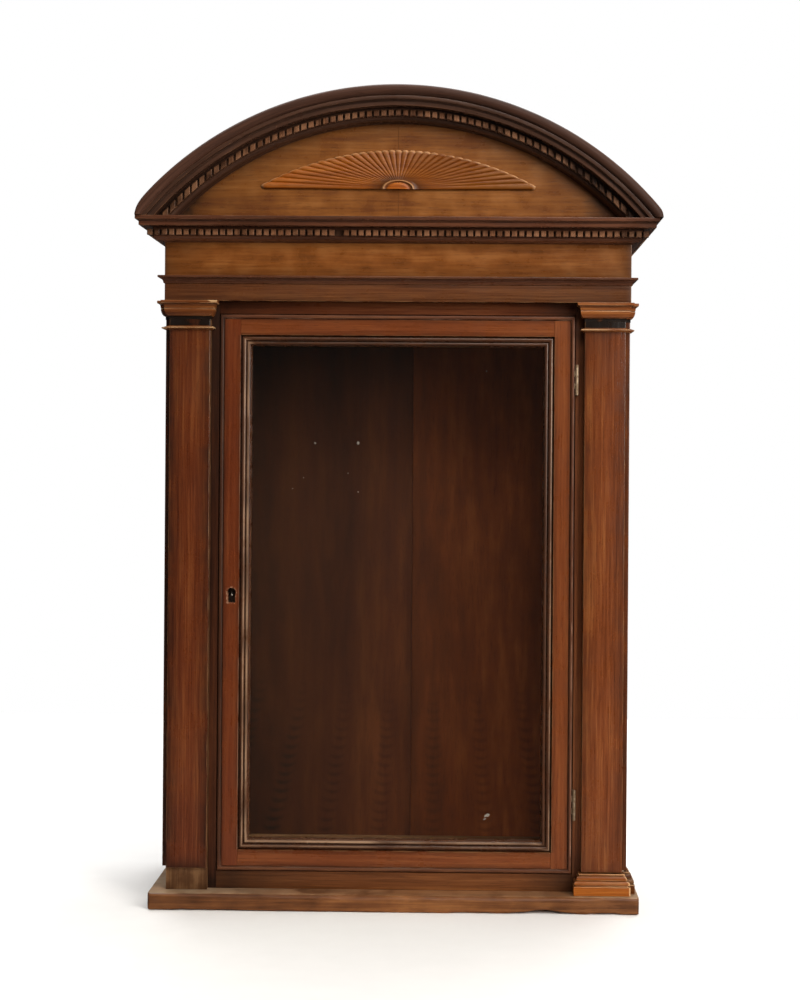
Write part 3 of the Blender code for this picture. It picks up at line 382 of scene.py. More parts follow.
print("pores of", PORE_MM, "mm, patches of", PATCH_MM, "mm")

# %% [markdown]
# ## Polishes
# The show boards are French polished, many thin coats of shellac rubbed on with a pad. The mouldings of the
# pediment are stained nearly black, and what hands and cloths reach has gone pale. Photographs of each would
# tie them to one light; three colours for dark, middle and light wood and a roughness are enough.

# %% Polishes
RED = ("#4E1F0D", "#6E3418", "#8B4E27")
WARM_RED = ("#55270F", "#763C1C", "#94582D")
GOLD = ("#623716", "#7E471B", "#935A29")
DARK = ("#302018", "#442C20", "#553829")
CARVED = ("#7A3A0C", "#9E5312", "#BA6F22")
# French polish: clear and deep, so that the wood's own red, brown or gold shows, dirty along the edges
# red_polish goes on the left pilaster and the lighter warm_polish on the right one: painted shade on the left,
# painted light on the right
red_polish = mahogany("french_polished_red_mahogany", *RED, rim=1.0)
warm_polish = mahogany("french_polished_warm_mahogany", *WARM_RED, rim=0.65)
brown_polish = mahogany("french_polished_brown_mahogany", "#42220F", "#60361C", "#784A29", rim=0.5)
gold_polish = mahogany("french_polished_golden_mahogany", *GOLD, rim=0.85, coarse=2.0, mottle=0.45)
# rubbed beads: dark, with a pale broken line, partly where cloths have gone along them and partly painted
# highlight
bead_polish = mahogany(
    "rubbed_bead_mahogany", "#3A2013", "#54301D", "#6B442C", rim=0.0, polish=0.25, wear="#B99475",
    rubbing=(0.20, 0.45),
)
cockbead_polish = mahogany(
    "dull_cockbead_mahogany", "#4A2616", "#683B23", "#835435", rim=0.0, polish=0.45, gloss=0.25, wear="#A0765E"
)
# stained mouldings: nearly black from a distance, with brown edges; the crown hardly shines
dark_polish = mahogany("dark_stained_mahogany", *DARK, rim=0.0, wear="#7A5439")
cornice_polish = mahogany("red_stained_mahogany", "#3E2417", "#553120", "#6B4028", rim=0.0, wear="#8A5F40")
crown_polish = mahogany("dull_dark_mahogany", "#352219", "#482D21", "#5A3B2C", rim=0.0, polish=0.5, gloss=0.15)
dentil_polish = mahogany("sawn_dentil_mahogany", "#4A2E1E", "#69432C", "#82573A", rim=0.0, wear="#A0704F")
# carved and worn wood: the brightest, orange in the body and pale on the ridges
carved_polish = mahogany(
    "polished_carved_mahogany", *CARVED, rim=0.0, polish=0.33, gloss=0.25, wear="#D8A878", rubbing=(0.25, 0.50)
)
worn_polish = mahogany(
    "worn_mahogany", "#562A12", "#874A20", "#AA6A34", rim=0.0, polish=0.32, wear="#D2A878", rubbing=(0.35, 0.55)
)
print(len(bpy.data.materials) - 1, "polishes")

# %% [markdown]
# ## Surfaces on a grid
# Every new piece is a grid of points worked out with numpy and handed to Blender at once. Modifiers on boxes
# would do for plain boards, but not for mouldings and wear. A moulding is a profile carried along a path; a
# board is a rounded rectangle carried along its length.

# %% Grids and noise


def grid_faces(rows, columns, wrap_rows=False, wrap_columns=False):
    """Quads between neighbours of a grid that is numbered row by row."""
    row, column = np.meshgrid(
        np.arange(rows if wrap_rows else rows - 1),
        np.arange(columns if wrap_columns else columns - 1),
        indexing="ij",
    )
    next_row, next_column = (row + 1) % rows, (column + 1) % columns
    corners = [
        row * columns + column,
        row * columns + next_column,
        next_row * columns + next_column,
        next_row * columns + column,
    ]
    return np.stack(corners, axis=-1).reshape(-1, 4)


def tube_faces(stations, count):
    """Faces of a closed outline carried along stations, with both ends capped."""
    ends = [list(range(count)), list(range((stations - 1) * count, stations * count))]
    return grid_faces(stations, count, False, True).tolist() + ends


def smooth_noise(places, spacing, seed):
    """Seeded heights from -1 to 1 at every spacing, joined by the smooth curve 3f^2 - 2f^3."""
    steps = np.asarray(places) / spacing
    whole = np.floor(steps).astype(int)
    share = steps - whole
    heights = np.random.default_rng(seed).uniform(-1, 1, whole.max() - whole.min() + 2)
    first = whole - whole.min()
    return heights[first] + (heights[first + 1] - heights[first]) * (3 * share**2 - 2 * share**3)


def name_seed(name):
    """A number that stays the same for a name, to set its noise apart from others."""
    return sum((i + 1) * ord(letter) for i, letter in enumerate(name))


print("a grid of 3 by 4 points has", len(grid_faces(3, 4)), "faces, a tube", len(tube_faces(3, 4)))

# %% [markdown]
# A piece is more than its mesh: it has a finish and point attributes, rides on a body and stands for solids.
# These could be set where each piece is made, but one of them is easily forgotten, so one function does it
# all.

# %% One piece


def make_piece(name, points, faces, body, material, nodes, slot, close=False, smooth=40, **attributes):
    """A mesh from points and faces, with point attributes, riding on a body in place of solids. Points and
    attributes may come as grids."""
    points = np.reshape(points, (-1, 3))
    mesh = bpy.data.meshes.new(name)
    mesh.from_pydata(points.tolist(), [], [list(face) for face in faces])
    count = len(points)
    plain = {"grime": np.zeros(count), "wear": np.zeros(count), "tone": np.ones(count)}
    far = np.ones((count, 3))
    for key, values in {**plain, "rim": far, "tips": far, **attributes}.items():
        vector = np.size(values) == 3 * count
        layer = mesh.attributes.new(key, "FLOAT_VECTOR" if vector else "FLOAT", "POINT")
        layer.data.foreach_set("vector" if vector else "value", np.asarray(values, np.float32).ravel())
    bm = bmesh.new()
    bm.from_mesh(mesh)
    bmesh.ops.remove_doubles(bm, verts=bm.verts, dist=1e-6)
    if close:
        bmesh.ops.holes_fill(bm, edges=[edge for edge in bm.edges if edge.is_boundary], sides=0)
    bmesh.ops.recalc_face_normals(bm, faces=bm.faces)
    bm.to_mesh(mesh)
    bm.free()
    mesh.shade_smooth()
    mesh.set_sharp_from_angle(angle=math.radians(smooth))
    mesh.materials.append(material)
    obj = bpy.data.objects.new(name, mesh)
    scene.collection.objects.link(obj)
    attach(obj, body)
    if nodes:
        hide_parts(*nodes)


print("a piece carries grain, grime, wear, tone, rim and tips")

# %% [markdown]
# A moulding was cut with a shaped plane, so it has one profile all along. A bevelled curve would give that,
# but no worn edges. Here sharp corners first become short curves, and then the outline's curvature says
# where hands rub, on edges, and where dirt stays, in hollows.

# %% Mouldings
SHARP_TURN = math.radians(25)  # corners sharper than this are rounded
UNEVEN = 0.00012  # old mouldings wander by a tenth of a millimetre,
UNEVEN_ALONG, UNEVEN_ACROSS = 0.017, 0.004  # with one rise in this distance


def soften(profile, arris):
    """A closed profile with its sharp corners rounded, and each point's wear (on edges) and grime (in
    hollows). A corner becomes the curve (1-t)^2 a + 2t(1-t) corner + t^2 b between points a and b, one arris
    before and after it. Wear and grime follow the curvature: turn over length."""
    points = np.asarray(profile, float)
    before, after = points - np.roll(points, 1, 0), np.roll(points, -1, 0) - points
    long_before, long_after = np.hypot(*before.T), np.hypot(*after.T)
    turn = np.arctan2(before[:, 0] * after[:, 1] - before[:, 1] * after[:, 0], (before * after).sum(1))
    reach = np.minimum(arris, 0.4 * np.minimum(long_before, long_after))
    t = np.linspace(0, 1, 4)[:, None]
    rounded = []
    for i in range(len(points)):
        if abs(turn[i]) < SHARP_TURN:
            rounded.append(points[i : i + 1])
            continue
        a = points[i] - before[i] / long_before[i] * reach[i]
        b = points[i] + after[i] / long_after[i] * reach[i]
        rounded.append((1 - t) ** 2 * a + 2 * t * (1 - t) * points[i] + t**2 * b)
    outline = np.concatenate(rounded)
    before, after = outline - np.roll(outline, 1, 0), np.roll(outline, -1, 0) - outline
    length = (np.hypot(*before.T) + np.hypot(*after.T)) / 2
    turn = np.arctan2(before[:, 0] * after[:, 1] - before[:, 1] * after[:, 0], (before * after).sum(1))
    curvature = turn / length
    return outline, np.clip((curvature - 250) / 700, 0, 1), np.clip((-curvature - 60) / 500, 0, 1)


def run_lengths(points):
    """Distance travelled along a row of points, from its first."""
    return np.concatenate([[0], np.cumsum(np.linalg.norm(np.diff(points, axis=0), axis=1))])


def moulding(
    name, profile, arris, path, body, material, slot,
    loop=False, tone=1.0, hollow=None, rub=1.0, crest=None, chip=None,
):
    """A profile carried along a path, with capped ends unless it is a loop. path turns an outline of (out,
    up) points into a grid of stations by points. The surface is uneven by a tenth of a millimetre, as old
    work is. hollow and crest may give grime and wear for each point of the outline, crest also for each
    station. tone, and rub, which scales the wear, are numbers for all stations or for each, and chip bares
    the wood between two stations above a height."""
    outline, wear, grime = soften(profile, arris)
    grid = path(outline)
    stations, count = grid.shape[:2]
    seed = name_seed(name)
    along = run_lengths(grid.mean(1))
    across = run_lengths(outline)
    uneven = smooth_noise(along, UNEVEN_ALONG, seed)[:, None] * smooth_noise(across, UNEVEN_ACROSS, seed + 1)
    if not loop:
        uneven[[0, -1]] = 0
    grid = grid + UNEVEN * uneven[:, :, None] * np.array([0.3, 1.0, 1.0])
    faces = grid_faces(stations, count, True, True).tolist() if loop else tube_faces(stations, count)
    grain = np.zeros((stations, count, 3))
    grain[..., 0] = along[:, None] + seed % 17
    grain[..., 1] = across[None, :] + seed % 13
    if hollow is not None:
        grime = np.maximum(grime, hollow(outline))
    if crest is not None:
        wear = crest(outline)
    rubbed = rub * np.clip(0.75 + 0.6 * smooth_noise(along, 0.03, seed + 2), 0, 1)
    rubbed = rubbed[:, None] * np.broadcast_to(wear, (stations, count))
    if chip:
        first, last, height = chip
        rubbed[first:last] = np.maximum(rubbed[first:last], 2.0 * (outline[:, 1] > height))
    make_piece(
        name, grid, faces, body, material, [name], slot, grain=grain, wear=rubbed,
        grime=np.broadcast_to(grime, (stations, count)), tone=np.repeat(np.broadcast_to(tone, stations), count),
    )


def arc(centre, wide, tall, start, end, steps=9):
    """Points of an ellipse's arc: centre + (wide cos a, tall sin a), angles in degrees."""
    turns = np.radians(np.linspace(start, end, steps))
    return np.stack([centre[0] + wide * np.cos(turns), centre[1] + tall * np.sin(turns)], axis=1)


def bead(foot, size, out, steps=9):
    """A half round that stands up from foot to foot + size and reaches out to a projection."""
    return arc((out - size / 2, foot + size / 2), size / 2, size / 2, -90, 90, steps)


print("a half round of", len(bead(0.0, 0.002, 0.004)), "points")

# %% [markdown]
# ## Boards
# The facings, the architrave and the frieze are plain boards, but no real board has knife edges: hands and
# dusters round them, and the light runs along the edge. A bevel on a box would do; here the section is a
# rounded rectangle carried along the board and drawn in at both ends, so that each edge can wear by a
# different amount.

# %% Boards with rounded edges
X, Y, Z = 0, 1, 2
BOARD_STATIONS = 90


def board(name, along, across, arris, material, slot, low, high, dirt=None, tone=1.0, rub=1.0):
    """A rounded rectangle carried along one axis. The ends are drawn in by r (1 - sin a) over r (1 - cos a).
    dirt, if given, is a pair of lists: places along the board and the darkening there, which on the pilaster
    facings is partly painted shade. tone is one number or such a pair, and rub is the wear of the edges."""
    axes = [axis for axis in range(3) if axis != along]
    seed = name_seed(name)
    rectangle = np.array([[low[axes[0]], low[axes[1]]], [high[axes[0]], low[axes[1]]],
                          [high[axes[0]], high[axes[1]]], [low[axes[0]], high[axes[1]]]])
    outline, wear, _ = soften(rectangle, arris)
    inset = arris * (1 - np.cos(np.linspace(0, math.pi / 2, 4)))
    middle = np.linspace(low[along] + arris, high[along] - arris, BOARD_STATIONS)[1:-1]
    knots = [place for place in (dirt[0] if dirt else ()) if low[along] + arris < place < high[along] - arris]
    places = np.unique(np.concatenate([low[along] + inset, middle, knots, high[along] - inset]))
    end = np.clip(1 - np.minimum(places - low[along], high[along] - places) / arris, 0, 1)
    draw = arris * (1 - np.sqrt(1 - end**2))
    patchy = 1 + 0.35 * smooth_noise(places, 0.024, seed)
    edge = (draw + np.where(draw > 0, 0, arris * 0.25 * np.clip(patchy - 1, 0, 1)))[:, None]
    flat = np.empty((len(places), len(outline), 3))
    flat[..., along] = places[:, None]
    for k, axis in enumerate(axes):
        flat[..., axis] = np.clip(outline[None, :, k], low[axis] + edge, high[axis] - edge)
    grain = np.zeros_like(flat)
    grain[..., 0] = flat[..., along] + seed % 17
    grain[..., 1] = flat[..., across] + seed % 13
    grain[..., 2] = flat[..., 3 - along - across]
    rim, tips = np.ones_like(flat), np.ones_like(flat)
    rim[..., 0], rim[..., 1] = flat[..., across] - low[across], high[across] - flat[..., across]
    tips[..., 0], tips[..., 1] = flat[..., along] - low[along], high[along] - flat[..., along]
    count = len(outline)
    rubbed = rub * np.clip(wear[None, :] * np.clip(patchy, 0.2, 1.4)[:, None] + (draw > 0)[:, None], 0, 1)
    grime = np.interp(places, *dirt) if dirt else np.zeros(len(places))
    shade = np.interp(places, *tone) if np.ndim(tone) else np.full(len(places), tone)
    make_piece(
        name, flat, tube_faces(len(places), count), "cabinet", material, [name], slot, grain=grain, wear=rubbed,
        grime=np.repeat(grime, count), tone=np.repeat(shade, count), rim=rim, tips=tips,
    )


print("a board has", BOARD_STATIONS, "stations between its rounded ends")

# %% [markdown]
# The frieze and the architrave lie over the door, and the facings are glued on the pilasters and the sides.
# They are cut from different logs, so one is golden, one brown and the others red. The band between each
# necking bead and its capital is painted nearly black, as painted shade under the capital, and the facings
# darken a little below the beads and, on the right, towards the foot: a list of heights with the darkening
# there says how much. The left facings are darker, and the side facings darker still: painted shade on the side
# away from the light.

# %% Frieze, architrave and facings
BOARD_ARRIS, FACING_ARRIS = 0.0008, 0.0010
thirds = [-half_case, 0.0, half_case]
left_dirt = ([-half_case, -half_case + 0.02, -half_case + 0.06], [0.6, 0.4, 0.0])
# tone: lightest in the middle, with painted shade towards the right end, where the lamp on the right lights it
# most
board(
    "frieze", X, Z, BOARD_ARRIS, gold_polish, "golden_mahogany", *limits("frieze"), dirt=left_dirt,
    tone=(thirds, [1.0, 1.08, 0.78]),
)
board(
    "architrave", X, Z, BOARD_ARRIS, brown_polish, "red_mahogany", *limits("architrave"),
    tone=(thirds, [1.0, 1.15, 0.8]),
)
z_neck = limits("astragal_left")[0][2]
# heights and darkening of the facings: painted shade in the band above the necking bead, darker below the bead
# and at the right foot
DARKENING_HEIGHTS = [0.05, 0.14, z_neck - 0.10, z_neck - 0.012, z_neck, z_neck + 0.004, z_neck + 0.006, 1.0]
for name, side in SIDES:
    # painted shade: the left facings get the darker red polish with darker edges and a lower tone, and each
    # side facing 0.9 of its pilaster's tone
    shade, polish, foot = (1.0, warm_polish, 0.45) if name == "right" else (0.85, red_polish, 0.0)
    facing_darkening = (DARKENING_HEIGHTS, [foot, 0, 0, 0.35, 0.6, 0.6, 2.0, 2.0])
    facings = (("pilaster_facing", X, shade, facing_darkening), ("side_facing", Y, 0.9 * shade, None))
    for kind, across, tone, dirt in facings:
        place = limits(f"{kind}_{name}")
        board(
            f"{kind}_{name}", Z, across, FACING_ARRIS, polish, "red_mahogany", *place,
            dirt=dirt, tone=tone, rub=0.5,
        )
print("boards: frieze, architrave and facings")

# %% [markdown]
# The two back boards show through the pane. They are thin, stained and hardly polished. Painted shade darkens
# them towards the top, under the head of the case, towards the lock side, a little at the right edge, and in a
# band left of the middle; painted light brightens them towards the right and the foot, and the right board
# towards its top. Low down a plane has left faint ripples in upright columns. Cut into the mesh, the ripples
# would need very many faces; a wave texture across the grain gives them, and the cosine of x picks the columns.
# Behind, the wood is bare.

# %% Stain of the back boards
RAW_BACK = ("#4A3523", "#6B5038")  # bare wood behind, dark and light
SAW_MARKS_MM = (6.25, 1000.0, 111.0)  # width, depth and length of the marks that a saw left behind
RIPPLE_MM = 12.57  # from ripple to ripple
WAVE_UNIT = 20 / (2 * math.pi)  # waves of the texture in a unit of its scale
RIPPLE_X, RIPPLE_COLUMN = 0.045, 0.067  # place of one column and distance to the next
RIPPLE_BEND = 0.007  # height of a crescent
BAND_X = -0.08  # middle of the darker band


def painted_light_and_band(tree, colour):
    """The stain times 1 + right x low - band: painted light towards the right and the foot, and painted shade
    in a band left of the middle."""
    x, _, z = object_xyz(tree)
    low = add_node(tree, "MapRange", (z, 0.75, 0.15, 0.4, 1.4))
    right = add_node(tree, "MapRange", (x, 0.05, 0.16))
    right = add_node(tree, "Math", (right, low), operation="MULTIPLY")
    right = add_node(tree, "MapRange", (right, 0.0, 1.4, 1.0, 2.4))
    aside = add_node(tree, "Math", (x, BAND_X), operation="SUBTRACT")
    aside = add_node(tree, "Math", (aside,), operation="ABSOLUTE")
    band = add_node(tree, "MapRange", (aside, 0.01, 0.06, 1.0, 0.0))
    high = add_node(tree, "MapRange", (z, 0.2, 0.4, 0.3, 1.0))
    band = add_node(tree, "Math", (band, high), operation="MULTIPLY")
    strength = sum_of(tree, (right, 1.0), (band, -0.32))
    return add_node(tree, "VectorMath", {0: colour, "Scale": strength}, operation="SCALE")


def bare_behind(tree, colour):
    """Bare wood where a board looks backwards: no stain and no polish."""
    normal = add_node(tree, "NewGeometry", output="True Normal")
    back = add_node(tree, "MapRange", (add_node(tree, "SeparateXYZ", (normal,), "Y"), 0.6, 0.8))
    spot = add_node(tree, "TexCoord", output="Object")
    scales = [noise_scale(size) for size in SAW_MARKS_MM]
    saw = add_node(tree, "VectorMath", (spot, scales), operation="MULTIPLY")
    saw = add_node(tree, "TexNoise", {"Vector": saw, "Scale": 1.0, "Detail": 4.0})
    saw = add_node(tree, "MapRange", (saw, 0.3, 0.7))
    bare = add_node(tree, "Mix", {0: saw, 6: linear(RAW_BACK[0]), 7: linear(RAW_BACK[1])}, **MIX_COLOURS)
    return add_node(tree, "Mix", {0: back, 6: colour, 7: bare}, **MIX_COLOURS)


def back_shade_and_ripple(tree):
    """Painted shade from the height and the side, and a ripple in the lower part: waves up the board, bent into
    crescents, in columns where the cosine of x is high. The columns spread towards the foot."""
    x, _, z = object_xyz(tree)
    # painted shade: darker towards the top except at the right, towards the lock side, and a little at the
    # right edge
    head = add_node(tree, "MapRange", (z, 0.42, 0.76, 0.0, 0.6))
    away = add_node(tree, "MapRange", (x, 0.02, 0.14, 1.0, 0.0))
    head = add_node(tree, "Math", (head, away), operation="MULTIPLY")
    dirt = highest(tree, (x, 0.02, -0.20, 0.0, 0.9), (x, 0.16, 0.24, 0.0, 0.3), least=head)
    aside = add_node(tree, "Math", (x, RIPPLE_X), operation="SUBTRACT")
    turns = 2 * math.pi / RIPPLE_COLUMN
    turns = add_node(tree, "MapRange", (z, 0.0, 0.4, turns * 0.85, turns * 1.3))
    phase = add_node(tree, "Math", (aside, turns), operation="MULTIPLY")
    column = add_node(tree, "Math", (phase,), operation="COSINE")
    bent = add_node(tree, "CombineXYZ", {0: aside, 2: sum_of(tree, (z, 1.0), (column, RIPPLE_BEND))})
    scale = noise_scale(RIPPLE_MM * WAVE_UNIT)
    waves = {"Vector": bent, "Scale": scale, "Distortion": 3.0, "Detail": 1.0, "Detail Scale": 0.6}
    waves = add_node(tree, "TexWave", waves, "Fac", bands_direction="Z")
    ripple = add_node(tree, "MapRange", (column, 0.35, 1.0))
    for ramp in ((z, 0.27, 0.17), (waves, 0.35, 1.0)):
        ripple = add_node(tree, "Math", (ripple, add_node(tree, "MapRange", ramp)), operation="MULTIPLY")
    return sum_of(tree, (dirt, 1.0), (ripple, 0.38)), 0.0


print("ripples every", RIPPLE_MM, "mm, in columns", RIPPLE_COLUMN, "m apart")

# %% [markdown]
# With the stain worked out, the back boards are made like the others. Their seam is nearly closed: even a
# tenth of a millimetre would show as a line of light, and a strip behind it would be one piece too many.

# %% Back boards
SEAM_CLOSED = 0.000145  # each board's edge moves this much towards the other
# thin stain over coarse wood: matt and brown, with broad soft grain that lies back behind the pane
back_polish = mahogany(
    "thin_stained_back_mahogany", "#452010", "#552811", "#683518", rim=0.4, polish=0.6, gloss=0.12, coarse=7.0,
    mottle=0.12, cloud=0.85, extra=back_shade_and_ripple, layers=(painted_light_and_band, bare_behind),
)
for name, side in SIDES:
    low, high = limits(f"back_board_{name}")
    if side < 0:
        high[0] += SEAM_CLOSED
    else:
        low[0] -= SEAM_CLOSED
    # painted light and shade: the right board lighter, most at its top, the left one darker
    tone = ([0.0, 0.4, 0.75], [0.9, 0.8, 0.9] if name == "left" else [1.2, 1.15, 2.3])
    board(f"back_board_{name}", Z, X, 0.0012, back_polish, "inside_mahogany", low, high, tone=tone, rub=0.0)
print("two back boards")

# %% [markdown]
# ## Straight mouldings
# The cornice, the taenia and the crown run across the front and back along the sides. A bevelled curve could
# carry each profile, but its corners would need care. Here a mitre comes by itself, because every line of
# the profile is stretched to its own length: half the case plus its own projection. So the whole run is an
# outline times a row of shares from -1 to 1.

# %% Profiles of cornice, taenia and crown
BED_FOOT, BED_HEIGHT, BED_OUT = 0.0022, 0.0070, 0.0125
DENTIL_HEIGHT, DENTIL_SHADOW = 0.0076, 0.0033
CORONA_OUT, CORONA_HEIGHT = 0.0275, 0.0042
COVE_HEIGHT, CORNICE_OUT, FILLET_HEIGHT = 0.0030, 0.0315, 0.0044
soffit = BED_HEIGHT + DENTIL_HEIGHT + DENTIL_SHADOW
corona_top = soffit + CORONA_HEIGHT
cove_top = corona_top + COVE_HEIGHT
cornice_height = cove_top + FILLET_HEIGHT
cornice_profile = np.concatenate([
    [(JOINT, 0.0)],
    arc((BED_FOOT, BED_HEIGHT), BED_OUT - BED_FOOT, BED_HEIGHT * 0.8, -90, 0),
    [(BED_OUT, soffit), (CORONA_OUT, soffit)],
    arc((CORNICE_OUT, corona_top), CORNICE_OUT - CORONA_OUT, COVE_HEIGHT, 180, 90),
    [(CORNICE_OUT, cornice_height), (JOINT, cornice_height)],
])

TAENIA_FOOT, TAENIA_OUT, TAENIA_HEIGHT, TAENIA_FILLET = 0.0014, 0.0076, 0.0093, 0.0026
taenia_profile = np.concatenate([
    [(JOINT, 0.0)],
    arc((TAENIA_OUT, 0.0), TAENIA_OUT - TAENIA_FOOT, TAENIA_HEIGHT - TAENIA_FILLET, 180, 90),
    [(TAENIA_OUT, TAENIA_HEIGHT), (JOINT, TAENIA_HEIGHT)],
])

CROWN_HEIGHT, CROWN_FOOT, CROWN_OUT, CROWN_SEAT = 0.0135, 0.0300, 0.0355, 0.0120
crown_nose = arc((CROWN_FOOT, CROWN_HEIGHT / 2), CROWN_OUT - CROWN_FOOT, CROWN_HEIGHT / 2, -90, 90, 17)
print(f"cornice {1000 * cornice_height:.1f} mm high, reaching out {1000 * CORNICE_OUT:.1f} mm")

# %% [markdown]
# A path says where each point of an outline goes at each station. At the front the stations run from mitre
# to mitre, and at the sides from the mitre to the back. Three boxes cut at 45 degrees would meet as well,
# but they would need the cut worked out for every profile.

# %% Cornice, taenia and crowns
MOULDING_ARRIS = 0.0006
FRONT_STATIONS, SIDE_STATIONS = 161, 61


def along_front(foot):
    """Path across the front: x = share (half case + out), y = front plane - out, z = foot + up."""

    def path(outline):
        share = np.linspace(-1, 1, FRONT_STATIONS)[:, None]
        x = share * (half_case + outline[None, :, 0] - JOINT)
        y = np.broadcast_to(y_face - outline[:, 0], x.shape)
        return np.stack([x, y, np.broadcast_to(foot + outline[:, 1], x.shape)], axis=-1)

    return path


def along_side(side, foot, front):
    """Path from a front end, given for each projection, to the back: x = half case + out."""

    def path(outline):
        share = np.linspace(0, 1, SIDE_STATIONS)[:, None]
        y = front(outline[None, :, 0]) * (1 - share) + y_back * share
        x = np.broadcast_to(side * (half_case + outline[:, 0]), y.shape)
        return np.stack([x, y, np.broadcast_to(foot + outline[:, 1], y.shape)], axis=-1)

    return path


def mitre(out):
    """Where a side moulding meets the front one."""
    return y_face - out + JOINT


crown_start = limits("crown_left")[0][1]
z_cornice = limits("cornice_front")[0][2]
z_taenia = limits("taenia_front")[0][2]
z_crown = limits("crown_left")[0][2]
side_crown_profile = np.concatenate([[(CROWN_SEAT, 0.0)], crown_nose, [(CROWN_SEAT, CROWN_HEIGHT)]])
dark = ("cabinet", dark_polish, "dark_mahogany")
crown = ("cabinet", crown_polish, "dark_mahogany")
stained = ("cabinet", cornice_polish, "dark_mahogany")
front_tone = np.interp(np.linspace(-1, 1, FRONT_STATIONS), [0.86, 1.0], [1.15, 0.6])  # darker at the right end
moulding("cornice_front", cornice_profile, MOULDING_ARRIS, along_front(z_cornice), *stained, tone=front_tone)
moulding("taenia_front", taenia_profile, MOULDING_ARRIS, along_front(z_taenia), *stained, tone=1.1)
for name, side in SIDES:
    moulding(f"cornice_{name}", cornice_profile, MOULDING_ARRIS, along_side(side, z_cornice, mitre), *stained)
    taenia_path = along_side(side, z_taenia, mitre)
    moulding(f"taenia_{name}", taenia_profile, MOULDING_ARRIS, taenia_path, *stained, tone=1.1)
    start = along_side(side, z_crown, lambda out: np.full_like(out, crown_start))
    moulding(f"crown_{name}", side_crown_profile, MOULDING_ARRIS, start, *crown, rub=0.3)
print(f"cornice from {z_cornice:.3f} m, taenia from {z_taenia:.3f} m, crowns from {z_crown:.3f} m")

# %% [markdown]
# ## Arched mouldings
# The pediment's cornice and crown are the same profiles bent round a circle. A curve modifier could bend the
# straight ones, but would slant their ends. Here each line of the profile is an arc with its own radius that
# starts and ends on the straight cornice, so its angle is share times its own reach: the arc cosine of the
# height of the cornice over the circle's centre, divided by the radius.

# %% Arch
ARCH_SPRING = 0.0417  # the outer curve meets the cornice this far outside the case
CROWN_LEFT = np.reshape((0.3235, 0.0045), (2, 1, 1))  # limit and softness of the worn left end
CROWN_RIGHT = np.reshape((0.3262, 0.0018), (2, 1, 1))
CROWN_SEATED = 0.9 * JOINT  # the crown sits down on the arch, so that no light comes through
ARCH_STATIONS = 201
apex = limits("arch_crown")[1][2]
rise = apex - z_top
outer_radius = ((half_case + ARCH_SPRING) ** 2 + rise**2) / (2 * rise)
z_centre = apex - outer_radius
crown_radius = outer_radius - CROWN_HEIGHT
arch_radius = crown_radius - JOINT - cornice_height
tympanum_depth = limits("tympanum_left")[1][1] - y_face


def along_arch(foot_radius, rounded=False):
    """Path round the arch: x = r sin a, z = centre + r cos a, from cornice to cornice. Rounded ends turn
    down smoothly at a limit: x becomes limit - soft log(1 + exp((limit - x) / soft))."""

    def path(outline):
        radius = foot_radius + outline[:, 1]
        reach = np.arccos(np.clip((z_top + JOINT - z_centre) / radius, -1, 1))
        turn = np.linspace(-1, 1, ARCH_STATIONS)[:, None] * reach[None, :]
        x, z = radius * np.sin(turn), z_centre + radius * np.cos(turn)
        if rounded:
            limit, soft = np.where(x < 0, CROWN_LEFT, CROWN_RIGHT)
            x = np.sign(x) * (limit - soft * np.logaddexp(0, (limit - np.abs(x)) / soft))
        return np.stack([x, np.broadcast_to(y_face - outline[:, 0], x.shape), z], axis=-1)

    return path


arch_crown_profile = np.concatenate([[(-tympanum_depth, 0.0)], crown_nose, [(-tympanum_depth, CROWN_HEIGHT)]])
moulding("arch_cornice", cornice_profile, MOULDING_ARRIS, along_arch(arch_radius), *dark)
crown_tone = np.interp(np.linspace(-1, 1, ARCH_STATIONS), [-1, 0, 1], [1.15, 0.88, 0.6])  # darker to the right
crown_path = along_arch(crown_radius - CROWN_SEATED, True)
moulding("arch_crown", arch_crown_profile, MOULDING_ARRIS, crown_path, *crown, rub=0.3, tone=crown_tone)
print(f"arch radius {1000 * outer_radius:.0f} mm, centre {1000 * z_centre:.0f} mm above the floor")

# %% [markdown]
# The two boards of the pediment are glued together in the middle. The seam could be left open, but light
# would come through it. So the glue line is a thin dark strip between them, set back from both faces.

# %% Glue line
GLUE_CLEAR, GLUE_INSET = 0.00001, 0.0020  # from the boards' edges, and from their faces
glue_low, glue_high = limits("tympanum_left")
glue_x = [glue_high[0] + GLUE_CLEAR, limits("tympanum_right")[0][0] - GLUE_CLEAR]
glue_y = [glue_low[1] + GLUE_INSET, glue_high[1] - GLUE_INSET]
glue_z = [glue_low[2] + GLUE_CLEAR, glue_high[2] - GLUE_CLEAR]
glue = np.stack(np.meshgrid(glue_x, glue_y, glue_z, indexing="ij"), axis=-1)
glue_faces = [[0, 1, 3, 2], [4, 5, 7, 6], [0, 1, 5, 4], [2, 3, 7, 6], [0, 2, 6, 4], [1, 3, 7, 5]]
make_piece("tympanum_glue", glue, glue_faces, "cabinet", dark_polish, [], "dark_mahogany", grain=glue)
print(f"glue line {1000 * (glue_x[1] - glue_x[0]):.2f} mm wide")

# %% [markdown]
# ## Dentils
# A dentil strip is a thin lath with small blocks, cut with a saw, so no two blocks are quite alike. An array
# modifier would make them all the same. Here one block of twelve points with a bevelled face is repeated,
# and each copy is a little wider, deeper or darker than the next. On the arch the cuts stay upright, as they
# do on the cabinet, while tops and feet follow the curve.

